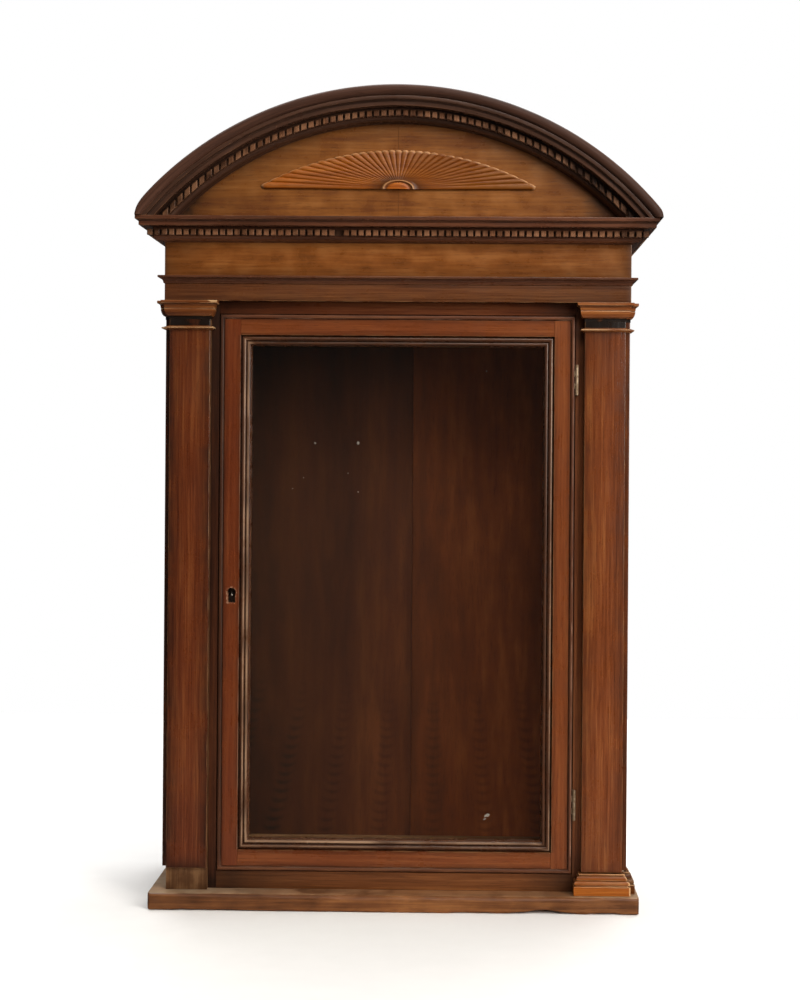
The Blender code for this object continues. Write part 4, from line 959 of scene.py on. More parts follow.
# %% One dentil strip
DENTIL_WIDTH, DENTIL_PITCH = 0.0064, 0.0090
DENTIL_GROUND, DENTIL_RELIEF, DENTIL_BEVEL = 0.0017, 0.0043, 0.0006
DENTIL_SHARE = 0.98  # of the height that the cornice leaves
LATH_STATIONS = 121
dentil_seat = BED_OUT + JOINT
dentil_out = dentil_seat + DENTIL_GROUND + DENTIL_RELIEF


def dentil_starts(low, high, lead=0.0):
    """Even places of the blocks between two ends."""
    length = high - low - lead - DENTIL_WIDTH
    return low + lead + np.linspace(0, length, round(length / DENTIL_PITCH) + 1)


def dentil_strip(name, starts, low, high, place, shade, ground=0.55):
    """Blocks and their lath. place(along, out, up) turns distances into points, up from 0 to 1. shade is a pair
    of lists: places along the strip and the tone there. ground is the tone of the lath; below 1 it is painted
    shade between the blocks."""
    seed = name_seed(name)
    random = np.random.default_rng(seed)
    total = len(starts)
    inset = DENTIL_BEVEL / DENTIL_WIDTH
    corners = np.array([(0, 0), (1, 0), (1, 1), (0, 1)], float)
    ring = np.concatenate([corners, corners, inset + corners * (1 - 2 * inset)])
    depth = np.repeat([0.0, DENTIL_RELIEF - DENTIL_BEVEL, DENTIL_RELIEF], 4)
    width = DENTIL_WIDTH * random.uniform(0.93, 1.05, (total, 1))
    along = starts[:, None] + (DENTIL_WIDTH - width) / 2 + width * ring[None, :, 0]
    out = dentil_seat + DENTIL_GROUND + depth[None, :] * random.uniform(0.94, 1.0, (total, 1))
    up = np.broadcast_to(ring[None, :, 1] * DENTIL_SHARE, along.shape)
    blocks = place(along, out, up).reshape(-1, 3)
    template = np.concatenate([grid_faces(3, 4, False, True), [[0, 1, 2, 3], [8, 9, 10, 11]]])
    faces = (template[None] + 12 * np.arange(total)[:, None, None]).reshape(-1, 4).tolist()
    lath_along = np.repeat(np.linspace(low, high, LATH_STATIONS)[:, None], 4, 1)
    lath_out = np.tile(dentil_seat + np.array([0, DENTIL_GROUND, DENTIL_GROUND, 0]), (LATH_STATIONS, 1))
    lath_up = np.tile(np.array([0, 0, 1, 1]) * DENTIL_SHARE, (LATH_STATIONS, 1))
    lath = place(lath_along, lath_out, lath_up).reshape(-1, 3)
    faces += (np.array(tube_faces(LATH_STATIONS, 4)) + len(blocks)).tolist()
    points = np.concatenate([blocks, lath])
    grain = points[:, [2, 0, 1]] + seed % 17
    block_tone = random.uniform(0.80, 1.25, total) * np.interp(starts + DENTIL_WIDTH / 2, *shade)
    # painted shade: the lath between the blocks and the blocks' feet are darker
    tone = np.concatenate([np.repeat(block_tone, 12), np.full(len(lath), ground)])
    grime = np.concatenate([np.tile(np.repeat([1.0, 0.25, 0.0], 4), total), np.full(len(lath), 0.6)])
    wear = np.concatenate([np.tile(np.repeat([0.0, 0.9, 0.55], 4), total), np.zeros(len(lath))])
    make_piece(
        name, points, faces, "cabinet", dentil_polish, [name], "dark_mahogany",
        smooth=30, grain=grain, tone=tone, grime=grime, wear=wear,
    )
    return total


print(f"blocks {1000 * DENTIL_WIDTH:.1f} mm wide, every {1000 * DENTIL_PITCH:.1f} mm")

# %% [markdown]
# There are four strips: across the front, along both sides and under the arch. At the front one block is
# lost, left of the middle. A strip only needs to know how a distance along it becomes a place, so each gets
# a small function for that, and a list of tones, because the ends lie in shade.

# %% Dentils of cornice and arch
LOST_DENTIL_X = -0.0765
dentil_foot = z_cornice + BED_HEIGHT + JOINT
dentil_tall = DENTIL_HEIGHT - JOINT
front_end = half_case + dentil_out
starts = dentil_starts(-front_end, front_end)
present = np.abs(starts + DENTIL_WIDTH / 2 - LOST_DENTIL_X) > DENTIL_PITCH / 2
blocks = dentil_strip(
    "dentils_front", starts[present], -front_end, front_end,
    lambda along, out, up: np.stack([along, y_face - out, dentil_foot + up * dentil_tall], -1),
    (
        [-front_end, -front_end + 0.03, -front_end + 0.06, front_end - 0.05, front_end - 0.025],
        [0.3, 0.5, 1, 1, 0.35],
    ),
)
side_start = y_face - dentil_seat + JOINT
for name, side in SIDES:
    blocks += dentil_strip(
        f"dentils_{name}", dentil_starts(side_start, y_back, DENTIL_PITCH - DENTIL_WIDTH), side_start, y_back,
        lambda along, out, up, side=side: np.stack(
            [side * (half_case + out), along, dentil_foot + up * dentil_tall], -1
        ),
        ([side_start, side_start + 0.04], [0.4, 0.8]),
    )
dentil_radius = arch_radius + BED_HEIGHT + JOINT
half_span = math.sqrt((dentil_radius + dentil_tall) ** 2 - (z_top + JOINT - z_centre) ** 2)


def on_arch(along, out, up):
    """Upright cuts under a curve: z = centre + root(r^2 - x^2), no lower than the cornice."""
    radius = dentil_radius + up * dentil_tall
    z = z_centre + np.sqrt(radius**2 - along**2)
    return np.stack([along, y_face - out, np.maximum(z, z_top + JOINT)], -1)


arch_end = half_span - DENTIL_PITCH / 2
blocks += dentil_strip(
    "arch_dentils", dentil_starts(-arch_end, arch_end), -arch_end, arch_end, on_arch,
    ([-arch_end, -0.23, -0.18, 0.0, 0.08, 0.16, arch_end], [0.3, 0.45, 0.75, 0.8, 0.65, 0.45, 0.17]),
    ground=1.0,
)
print(blocks, "dentils")

# %% [markdown]
# ## Capitals, necking beads and base
# These small mouldings step round a pilaster: from the door post forward, across its face, back, and out
# round the edge of the side. They could be cut and mitred piece by piece, as a joiner does. Here the path is
# a handful of corners, and between two corners both the wall and the direction of projection change evenly,
# so mitres come out by themselves.

# %% Path round a pilaster
MOULDING_RETURN = 0.028
RUN_SHARES = np.array([0.0, 0.03, *np.linspace(0.10, 0.90, 10), 0.97])  # stations, close at a run's corners


def round_pilaster(side, foot):
    """Path through the corners of a pilaster's stepped plan; every corner moves out by the projection."""

    def path(outline):
        out = outline[:, 0]
        inner, outer, edge = pilaster_inner - out, pilaster_outer + out, half_case + out
        plan = [
            (inner, np.full_like(out, y_case - JOINT)),
            (inner, y_face - out),
            (outer, y_face - out),
            (outer, y_case - out),
            (edge, y_case - out),
            (edge, np.full_like(out, y_case + MOULDING_RETURN)),
        ]
        corners = np.array([np.stack([side * x, y, foot + outline[:, 1]], -1) for x, y in plan])
        share = RUN_SHARES[None, :, None, None]
        runs = corners[:-1, None] * (1 - share) + corners[1:, None] * share
        return np.concatenate([runs.reshape(-1, *corners.shape[1:]), corners[-1:]])

    return path


print(5 * len(RUN_SHARES) + 1, "stations round a pilaster")

# %% [markdown]
# A capital is a neck, a swelling echinus, a small cove and a square abacus, and the necking bead below it is a
# thin ring. Stacked boxes would show their seams, so each is one profile on the path. Both are rubbed bright,
# the beads most, partly wear and partly painted highlight. The capital's neck gets painted shade under the
# echinus, and the left capital and bead are darker: painted shade on the side away from the light. At the left
# capital a splinter is gone from the abacus, and bare wood shows.

# %% Capitals and necking beads
NECK, NECK_OUT = 0.0036, 0.0004
ECHINUS, ECHINUS_OUT, ECHINUS_LIP = 0.0110, 0.0058, 0.0004
CAPITAL_COVE, ABACUS, ABACUS_FOOT, ABACUS_OUT = 0.0046, 0.0038, 0.0084, 0.0096
cove_foot = NECK + ECHINUS
abacus_foot = cove_foot + CAPITAL_COVE
capital_height = abacus_foot + ABACUS
capital_profile = np.concatenate([
    [(JOINT, 0.0), (NECK_OUT, 0.0), (NECK_OUT, NECK)],
    arc((NECK_OUT, cove_foot), ECHINUS_OUT - NECK_OUT, ECHINUS, -90, -12, 10)[1:],
    [(ECHINUS_OUT - 2 * ECHINUS_LIP, cove_foot - 0.0012), (ECHINUS_OUT, cove_foot - 0.0010)],
    arc((ABACUS_FOOT, cove_foot), ABACUS_FOOT - ECHINUS_OUT, CAPITAL_COVE, 180, 90, 7)[1:],
    [(ABACUS_OUT, abacus_foot + 0.0004), (ABACUS_OUT, capital_height), (JOINT, capital_height)],
])
ASTRAGAL, ASTRAGAL_OUT, ASTRAGAL_TIP = 0.0050, 0.0048, 0.0020
astragal_profile = np.concatenate([
    [(JOINT, 0.0), (ASTRAGAL_OUT * 0.3, 0.0006)],
    bead((ASTRAGAL - ASTRAGAL_TIP) / 2, ASTRAGAL_TIP, ASTRAGAL_OUT, 9),
    [(ASTRAGAL_OUT * 0.3, ASTRAGAL - 0.0006), (JOINT, ASTRAGAL)],
])
worn = ("cabinet", worn_polish, "worn_mahogany")
for name, side in SIDES:
    # painted shade: the left capital and its bead are darker in tone
    tone = 0.95 if name == "right" else 0.75
    foot = limits(f"capital_{name}")[0][2]
    moulding(
        f"capital_{name}", capital_profile, 0.0005, round_pilaster(side, foot), *worn, tone=tone,
        # painted shade in the capital's neck, under the echinus
        hollow=lambda outline: 2.0 * (outline[:, 1] < NECK + 0.0004),
        chip=(len(RUN_SHARES), len(RUN_SHARES) + 3, abacus_foot + 0.0024) if name == "left" else None,
    )
    foot = limits(f"astragal_{name}")[0][2]
    moulding(
        f"astragal_{name}", astragal_profile, 0.0003, round_pilaster(side, foot), *worn, tone=tone, rub=1.5
    )
print(f"two capitals, {1000 * capital_height:.1f} mm high, and two necking beads")

# %% [markdown]
# Only the right pilaster still has its base: a plinth, a half-round torus, a shoulder and a fillet, with
# thin cuts between them. A lathe could not turn it, as it is square, so it is one more moulding on the same
# path.

# %% Right base
PLINTH, PLINTH_OUT, TORUS, TORUS_OUT = 0.0112, 0.0096, 0.0056, 0.0088
SHOULDER, SHOULDER_OUT, BASE_FILLET, BASE_FILLET_OUT = 0.0046, 0.0060, 0.0025, 0.0030
BASE_QUIRK, BASE_QUIRK_DEPTH = 0.0009, 0.0018
torus_foot = PLINTH + BASE_QUIRK
shoulder_foot = torus_foot + TORUS + BASE_QUIRK
shoulder_top = shoulder_foot + SHOULDER
base_profile = np.concatenate([
    [(JOINT, 0.0), (PLINTH_OUT, 0.0), (PLINTH_OUT, PLINTH)],
    [(TORUS_OUT - BASE_QUIRK_DEPTH, PLINTH), (TORUS_OUT - BASE_QUIRK_DEPTH, torus_foot)],
    bead(torus_foot, TORUS, TORUS_OUT, 11),
    [(SHOULDER_OUT - BASE_QUIRK_DEPTH, torus_foot + TORUS), (SHOULDER_OUT - BASE_QUIRK_DEPTH, shoulder_foot)],
    [(SHOULDER_OUT, shoulder_foot)],
    arc((BASE_FILLET_OUT, shoulder_foot), SHOULDER_OUT - BASE_FILLET_OUT, SHOULDER, 0, 90, 9)[1:],
    [(BASE_FILLET_OUT * 0.6, shoulder_top), (BASE_FILLET_OUT * 0.6, shoulder_top + 0.0006)],
    [(BASE_FILLET_OUT, shoulder_top + 0.0006), (BASE_FILLET_OUT, shoulder_top + BASE_FILLET)],
    [(JOINT, shoulder_top + BASE_FILLET)],
])
foot = limits("base_moulding_right")[0][2]
base_path = round_pilaster(1, foot)
front_corner = 2 * len(RUN_SHARES)
# painted shade: the moulding is darker on its returns than on its front
base_tone = np.append(np.repeat([0.6, 0.95, 0.3, 0.3, 0.4], len(RUN_SHARES)), 0.4)
base_dirt = ([PLINTH, torus_foot, shoulder_foot, shoulder_top], [0, 0.25, 0.4, 0.5])  # heights and grime
moulding(
    "base_moulding_right", base_profile, MOULDING_ARRIS, base_path, "cabinet", carved_polish, "carved_mahogany",
    rub=1.2, tone=base_tone, chip=(front_corner, front_corner + 1, 0.0),
    hollow=lambda outline: np.interp(outline[:, 1], *base_dirt),
)
print(f"base {1000 * (shoulder_top + BASE_FILLET):.1f} mm high")

# %% [markdown]
# ## Carved fan
# Rays spread from a half-oval boss to an arched rim. A fan could be cut ray by ray; as a surface it is a
# polar grid: one parameter runs from ray to ray, the other from the boss to the rim. Each ray swells like a
# reed, with a round section between two grooves and a round end, and the boss is a dome in the middle of the
# same grid.

# %% Rim of the fan
FAN_WIDTH, FAN_HEIGHT, FAN_TIP = 0.339, 0.0476, 0.0046
FAN_RAYS, RAY_COLUMNS, RAY_ROWS, BOSS_ROWS = 33, 10, 36, 16
FAN_GROUND, RAY_SWELL, RAY_END = 0.0016, 0.0019, 0.0014
RAY_TIP = 0.0035  # length of a ray's round and rubbed tip
RAY_SPREAD = 0.26  # rays at the tips are wider than rays in the middle
BOSS_WIDTH, BOSS_HEIGHT = 0.042, 0.0118
BOSS_SHARES = (0.0, 0.50, 0.70, 0.80, 0.87, 0.94, 1.0)  # from the middle of the boss to its edge
BOSS_HEIGHTS = (0.0050, 0.0046, 0.0034, 0.0036, 0.0052, 0.0046, 0.0016)
z_fan = limits("fan_carving")[0][2]
fan_seat = y_face - JOINT
fan_sagitta = FAN_HEIGHT - FAN_TIP
fan_radius = ((FAN_WIDTH / 2) ** 2 + fan_sagitta**2) / (2 * fan_sagitta)
fan_reach = math.asin(FAN_WIDTH / 2 / fan_radius)
FIRST_BOSS = math.radians(10)


def fan_rim(step):
    """Rim at a step counted in rays: up the tip, then along the arc, where the turn is reach ((1 - k) u + k
    u |u|) for u from -1 to 1, so that rays grow wider towards the tips."""
    tip = 0.35
    u = np.clip((2 * step - FAN_RAYS) / (FAN_RAYS - 2 * tip), -1, 1)
    turn = fan_reach * ((1 - RAY_SPREAD) * u + RAY_SPREAD * u * np.abs(u))
    lift = np.clip(1 - np.minimum(step, FAN_RAYS - step) / tip, 0, 1)
    x = fan_radius * np.sin(turn)
    return x, z_fan + FAN_HEIGHT - fan_radius * (1 - np.cos(turn)) - FAN_TIP * lift


print(FAN_RAYS, "rays, rim radius", round(1000 * fan_radius), "mm")

# %% [markdown]
# Now the surface: straight lines lead from the boss to the rim, and the height over the ground is a round
# swell across each ray, fading at its root and rounded at its tip. A groove can't be deeper than its ray is
# wide, so the depth follows the distance between neighbouring lines.

# %% Surface of the fan
step = np.linspace(0, FAN_RAYS, FAN_RAYS * RAY_COLUMNS + 1)[None, :]
lowness = np.abs(2 * step / FAN_RAYS - 1)
swell = 1 - np.abs(2 * (step % 1.0) - 1) ** 2.6
turn = np.interp(step, [0, 1, FAN_RAYS - 1, FAN_RAYS], [np.pi, np.pi - FIRST_BOSS, FIRST_BOSS, 0])
boss_x, boss_z = BOSS_WIDTH / 2 * np.cos(turn), z_fan + BOSS_HEIGHT * np.sin(turn)
rim_x, rim_z = fan_rim(step)
reach = np.hypot(rim_x - boss_x, rim_z - boss_z)
share = np.linspace(0, 1, RAY_ROWS)[:, None] ** 0.9
ray_x = boss_x + (rim_x - boss_x) * share
ray_z = boss_z + (rim_z - boss_z) * share
ray_width = np.abs(
    np.gradient(ray_x, axis=1) * (rim_z - boss_z) - np.gradient(ray_z, axis=1) * (rim_x - boss_x)
) / reach * RAY_COLUMNS
depth = np.minimum(RAY_SWELL, 0.20 * ray_width) * np.clip(share / (0.05 + 0.50 * lowness**2), 0, 1)
stretch = 1 + RAY_END * swell / reach
ray_x, ray_z = boss_x + (ray_x - boss_x) * stretch, boss_z + (ray_z - boss_z) * stretch
left = np.clip((1 - share) * reach / RAY_TIP, 0, 1)
round_end = np.sqrt(1 - (1 - left) ** 2)
ray_out = (FAN_GROUND + RAY_SWELL * (0.75 + 0.25 * share)) * (0.45 + 0.55 * round_end) - depth * (1 - swell)
dome = np.linspace(0, 1, BOSS_ROWS, endpoint=False)[:, None]
boss_out = np.interp(dome, BOSS_SHARES, BOSS_HEIGHTS)
fan_x = np.concatenate([boss_x * dome, ray_x, ray_x[-1:]])
fan_z = np.concatenate([z_fan + (boss_z - z_fan) * dome, ray_z, ray_z[-1:]])
fan_out = np.concatenate([np.broadcast_to(boss_out, (BOSS_ROWS, step.size)), ray_out, np.zeros((1, step.size))])
fan_grid = np.stack([fan_x, fan_seat - fan_out, np.maximum(fan_z, z_fan)], axis=-1)
back_edges = [fan_grid[:, [column]] * (1, 0, 1) + (0, fan_seat, 0) for column in (0, -1)]
fan_grid = np.concatenate([back_edges[0], fan_grid, back_edges[1]], axis=1)
rows, columns = fan_grid.shape[:2]
print("fan of", rows, "by", columns, "points")

# %% [markdown]
# Polish is worn on the ridges and the tips, dirt lies at the roots, and dirt with painted shade in the grooves.
# A paint map would need unwrapping; the grid already knows how far each point is from a ridge, so the same
# numbers give wear, dirt and shade. The carving gets darker to the right, and the middle of the boss is
# lighter.

# %% Wear of the fan
body = (slice(BOSS_ROWS, -1), slice(1, -1))
wear, hollow = np.zeros((rows, columns)), np.zeros((rows, columns))
groove = np.clip(depth / RAY_SWELL, 0, 1)
root = np.clip(1.3 - share * reach / (0.004 + 0.014 * lowness), 0, 1)
tip = np.clip(1 - (1 - share) * reach / RAY_TIP, 0, 1)
wear[body] = np.maximum(0.20 * np.clip(2.5 * swell - 1.5, 0, 1) * groove, 0.9 * tip)
# grooves: dirt and painted shade; roots and the boss's hollow: dirt
hollow[body] = np.maximum(0.75 * np.clip(1 - 2.0 * swell, 0, 1) * groove, 0.75 * root)
wear[:BOSS_ROWS] = np.clip(1 - np.abs(dome - 0.89) / 0.08, 0, 1)
hollow[:BOSS_ROWS] = 0.8 * np.clip(1 - np.abs(dome - 0.73) / 0.12, 0, 1)
fan_tone = np.interp(fan_grid[..., 0], [-FAN_WIDTH / 2, 0, FAN_WIDTH / 2], [1.10, 0.66, 0.48])
fan_tone[:BOSS_ROWS] *= np.interp(dome, [0.60, 0.75], [1.9, 1.0])
fan_grain = np.stack([fan_grid[..., 0] + 3, fan_grid[..., 2] + 5, fan_grid[..., 1]], axis=-1)
make_piece(
    "fan_carving", fan_grid, grid_faces(rows, columns), "cabinet", carved_polish, ["fan_carving"],
    "carved_mahogany", close=True, smooth=60, grain=fan_grain, wear=wear, grime=hollow, tone=fan_tone,
)
print(f"fan {1000 * FAN_WIDTH:.0f} mm wide and {1000 * FAN_HEIGHT:.1f} mm high")

# %% [markdown]
# ## Base board
# The board at the foot has had the hardest life: its lower edge is worn wavy, its top edge is rubbed round,
# most of all at the left, and dust lies on top. It could be sculpted by hand, but would lose its flat top,
# where the posts stand. So it is a rounded rectangle carried from end to end, whose lower front edge lifts
# and whose front moves in and out with smooth noise.

# %% Base board
BASE_ROUND, BASE_CORNER = 0.0030, 0.0035  # radius of the sharper edges and of the corners in plan
WORN_DEPTH = ([-0.30, -0.22, -0.10, 0.06, 0.30], [0.004, 0.005, 0.008, 0.007, 0.004])  # places and worn depths
WORN_SLOPE = 0.80  # height of the worn edge over its depth
NOTCHES = ((0.187, 0.026, 0.0050), (-0.21, 0.05, 0.0008))  # place, half width, depth of hollows below
EDGE_CHIP, FRONT_WANDER = 0.0016, 0.0006  # how far chips lift the lower edge, and the front moves in
BASE_STATIONS = 301
base_low, base_high = limits("base_board")
(front, foot), (back, top) = base_low[1:], base_high[1:]
places = np.linspace(base_low[0], base_high[0], BASE_STATIONS)
square = np.concatenate([
    arc((front + BASE_ROUND, foot + BASE_ROUND), BASE_ROUND, BASE_ROUND, 180, 270, 5),
    arc((back - BASE_ROUND, foot + BASE_ROUND), BASE_ROUND, BASE_ROUND, 270, 360, 4),
    arc((back - BASE_ROUND, top - BASE_ROUND), BASE_ROUND, BASE_ROUND, 0, 90, 4),
])
turn = np.radians(np.linspace(90, 180, 11))
worn = (np.interp(places, *WORN_DEPTH) * (1 + 0.3 * smooth_noise(places, 0.02, 9)))[:, None]
square_y, square_z = (np.tile(values, (BASE_STATIONS, 1)) for values in square.T)
y = np.concatenate([square_y, front + worn * (1 + np.cos(turn))], axis=1)
z = np.concatenate([square_z, top - WORN_SLOPE * worn * (1 - np.sin(turn))], axis=1)
end = np.minimum(places - base_low[0], base_high[0] - places)
corner = BASE_CORNER - np.sqrt(np.clip(BASE_CORNER**2 - np.clip(BASE_CORNER - end, 0, None) ** 2, 0, None))
chip = np.clip(smooth_noise(places, 0.045, 5) * 0.6 + smooth_noise(places, 0.013, 6) * 0.4, 0, 1)
notch = sum(depth * np.exp(-(((places - x) / wide) ** 2)) for x, wide, depth in NOTCHES)
low_front = np.clip(1.6 - (y - front) / 0.012, 0, 1) * (z < foot + 0.008)
z = z + low_front * (EDGE_CHIP * chip + notch)[:, None]
wander = FRONT_WANDER * (1 + smooth_noise(places, 0.03, 8))
y = y + np.clip(1 - (y - front) / 0.03, 0, 1) * (wander + corner)[:, None]
base_wear = np.clip(1.2 - np.abs(turn - math.radians(100)) / 0.25, 0, 1)
base_wear = np.concatenate([np.zeros(len(square)), base_wear])
base_grid = np.stack([np.broadcast_to(places[:, None], y.shape), y, z], axis=-1)
base_faces = tube_faces(*y.shape)
print("base board with", len(base_faces), "faces")

# %% [markdown]
# The board's own finish is worn mahogany with a film of pale dust on its top, thicker at the left. Dust
# could be painted on; but it lies wherever the surface faces up, so the shader reads the true normal.

# %% Dusty base finish
DUST = "#A68E72"
DUST_MM = 22.2  # width of the clouds of dust
BASE_RUB = ([-0.30, -0.25, -0.10, 0.05, 0.20, 0.30], [0.7, 1.0, 0.9, 0.4, 0.5, 1.0])  # places and wear
BASE_TONE = ([-0.30, -0.20, 0.0, 0.15, 0.30], [0.84, 0.96, 1.08, 0.95, 0.85])  # places and tone


def dusty(tree, colour):
    """Dust on faces that look up, thicker to the left and in front of the right base."""
    normal = add_node(tree, "NewGeometry", output="True Normal")
    up = add_node(tree, "MapRange", (add_node(tree, "SeparateXYZ", (normal,), "Z"), 0.93, 0.99))
    spot = add_node(tree, "TexCoord", output="Object")
    cloud = add_node(tree, "TexNoise", {"Vector": spot, "Scale": noise_scale(DUST_MM), "Detail": 5.0})
    x = object_xyz(tree)[0]
    thick = highest(tree, (x, -0.23, -0.12, 0.9, 0.12), (x, 0.215, 0.235, 0.0, 0.8))
    amount = add_node(tree, "MapRange", (cloud, 0.3, 0.7, 0.4, 1.0))
    for share in (up, thick):
        amount = add_node(tree, "Math", (amount, share), operation="MULTIPLY")
    return add_node(tree, "Mix", {0: amount, 6: colour, 7: linear(DUST)}, **MIX_COLOURS)


# worn and dusty: matt and patchy, pale along the top edge
base_polish = mahogany(
    "dusty_worn_mahogany", "#4C2A12", "#6E3F1A", "#895528", rim=0.0, polish=0.45, wear="#B8926E", mottle=0.35,
    coarse=1.3, rubbing=(0.35, 0.55), layers=(dusty,),
)
rubbed = np.clip(0.8 + 0.7 * smooth_noise(places, 0.025, 11), 0, 1) * np.interp(places, *BASE_RUB)
board_tone = np.interp(places, *BASE_TONE)[:, None] * np.interp(z, [foot + 0.001, foot + 0.008], [1.25, 1.0])
base_grain = np.stack([base_grid[..., 0] + 2, base_grid[..., 1] + base_grid[..., 2], base_grid[..., 2]], -1)
make_piece(
    "base_board", base_grid, base_faces, "cabinet", base_polish, ["base_board"], "worn_mahogany",
    grain=base_grain, wear=base_wear[None, :] * rubbed[:, None], tone=board_tone,
)
print("dust on the base board")

# %% [markdown]
# ## Door mouldings
# A cockbead runs round the edge of the door, and a sunk moulding of two beads holds the pane. Each could be
# four mitred strips, with four seams to hide. Here both are frames: a profile carried round four corners,
# and between two corners every point moves in a straight line.

# %% Path round a frame
door_low, door_high = limits("door_cockbead")
COCKBEAD_WIDTH, COCKBEAD_PROUD, COCKBEAD_DEPTH = 0.0055, 0.0015, 0.0050
FRAME_STEPS = 44  # stations on each side of a frame
y_door = door_low[1] + COCKBEAD_PROUD


def round_frame(low, high):
    """Path round a rectangle: out counts inwards from its edge, up counts back from the door's face."""

    def path(outline):
        inward, back = outline[:, 0], outline[:, 1]
        corners = np.array([
            np.stack([side_x + sign_x * inward, y_door + back, side_z + sign_z * inward], -1)
            for side_x, sign_x, side_z, sign_z in (
                (low[0], 1, low[2], 1), (high[0], -1, low[2], 1),
                (high[0], -1, high[2], -1), (low[0], 1, high[2], -1),
            )
        ])
        share = np.linspace(0, 1, FRAME_STEPS, endpoint=False)[None, :, None, None]
        runs = corners[:, None] * (1 - share) + np.roll(corners, -1, 0)[:, None] * share
        return runs.reshape(-1, *corners.shape[1:])

    return path


def frame_rub(bottom, right, top, left):
    """Wear for each station of a frame, side by side."""
    return np.repeat([bottom, right, top, left], FRAME_STEPS)


print(4 * FRAME_STEPS, "stations round a frame")

# %% [markdown]
# The cockbead is a thin strip let into the door's edge, with a round nose that stands proud and a groove beside
# it. It is rubbed along its inner edge, and on the hinge side a pale line along its outer flank is a painted
# highlight. Wear that follows the curvature would be the same all round, so here it is a line whose place
# differs from side to side. The left side is darker in tone, as painted shade.

# %% Cockbead
NOSE, NOSE_HEIGHT, GROOVE_DEPTH = 0.0048, 0.0013, 0.0010
BEAD_ARRIS = 0.0003
nose = arc((NOSE / 2, COCKBEAD_PROUD - NOSE_HEIGHT), NOSE / 2, NOSE_HEIGHT, 180, 0, 13) * (1, -1)
groove = [(COCKBEAD_WIDTH - 0.0006, GROOVE_DEPTH), (COCKBEAD_WIDTH - 0.0002, GROOVE_DEPTH)]
cockbead_profile = np.concatenate(
    [[(0.0, COCKBEAD_DEPTH)], nose, groove, [(COCKBEAD_WIDTH, COCKBEAD_DEPTH)]]
)[::-1]
door_path = round_frame(door_low, door_high)


def cockbead_wear_and_highlight(outline):
    """Wear in a line on the inner edge, but a painted highlight on the outer flank at the hinge side."""
    line = COCKBEAD_WIDTH * frame_rub(0.9, 0.3, 0.9, 0.9)[:, None]
    return np.clip(1.4 - np.abs(outline[:, 0] - line) / 0.0007, 0, 1)


moulding(
    "door_cockbead", cockbead_profile, BEAD_ARRIS, door_path, "door", cockbead_polish, "red_mahogany",
    # rub and tone for bottom, right, top and left: the left side hardly rubbed and darker, as painted shade
    loop=True, crest=cockbead_wear_and_highlight, rub=frame_rub(0.4, 0.9, 1.2, 0.02), tone=frame_rub(1.0, 1.0, 1.15, 0.55),
)
print("cockbead", 1000 * COCKBEAD_WIDTH, "mm wide")

# %% [markdown]
# The glazing moulding lies deeper: a dark cut, called a quirk, and two half-round beads that step down to the
# pane. A bump could draw the beads, but would throw no shadow. Cloths and light reach one flank of each bead,
# so a pale line runs there, partly wear and partly painted highlight, with a strength for each side. The quirk
# and the groove between the beads are darkened with dirt and painted shade.

# %% Glazing moulding
QUIRK_WIDTH, QUIRK_DEPTH, BEAD_GROOVE = 0.0012, 0.0034, 0.0003
GLAZING_BEADS = ((0.0057, 0.0010, 0.0024), (0.0048, 0.0026, 0.0019))  # width, depth of top, height
GLAZING_WIDTH, GLAZING_EDGE = 0.0130, 0.0080
# pale lines on the lit flanks: partly wear, partly painted highlight
GLAZING_WEAR_AND_HIGHLIGHT = (
    ((0.60, 0.30, 0.32, 0.68), (0.45, 0.50, 0.08, 0.85), 0.0009),
    ((0.60, 0.30, 0.30, 0.42), (0.85, 0.04, 0.06, 0.85), 0.0016),
)  # for each bead: place of the line, strength of the wear (bottom, right, top, left), and half its width
glazing_low, glazing_high = limits("glazing_moulding")
glazing_depth = glazing_high[1] - y_door
bead_feet = (QUIRK_WIDTH, QUIRK_WIDTH + GLAZING_BEADS[0][0] + BEAD_GROOVE)
glazing_profile = np.concatenate([
    [(0.0, glazing_depth), (0.0, QUIRK_DEPTH)],
    *(
        arc((foot + width / 2, -top - height), width / 2, height, 180, 0, 19) * (1, -1)
        for foot, (width, top, height) in zip(bead_feet, GLAZING_BEADS)
    ),
    [(GLAZING_WIDTH, GLAZING_EDGE), (GLAZING_WIDTH, glazing_depth)],
])[::-1]
sight_path = round_frame(glazing_low, glazing_high)
glazing = ("door", bead_polish, "dark_mahogany")


def glazing_dirt_and_shade(outline):
    """Dirt and painted shade in the quirk, thinning out up the first bead, then between the beads and at the
    pane.
    """
    inward = outline[:, 0]
    quirk = np.clip(1.1 - (inward - QUIRK_WIDTH) / 0.0022, 0, 1.1)
    groove = np.clip(1.2 - np.abs(inward - bead_feet[1]) / 0.0006, 0, 0.9)
    return np.maximum(np.maximum(quirk, groove), 0.5 * (inward > GLAZING_WIDTH - 0.0004))


def glazing_wear_and_highlight(outline):
    """A pale line along each bead, partly wear and partly painted highlight, on the flank that cloths and light
    reach: the right one and the upper one. It falls off evenly to both sides of the line."""
    inward, back = outline.T
    worn = np.zeros((1, len(outline)))
    for foot, (width, _, _), (lines, strengths, reach) in zip(bead_feet, GLAZING_BEADS, GLAZING_WEAR_AND_HIGHLIGHT):
        line = foot + width * frame_rub(*lines)[:, None]
        strip = np.clip(1.3 - np.abs(inward - line) / reach, 0, 1)
        worn = np.maximum(worn, frame_rub(*strengths)[:, None] * strip)
    return worn * (back < GLAZING_EDGE)


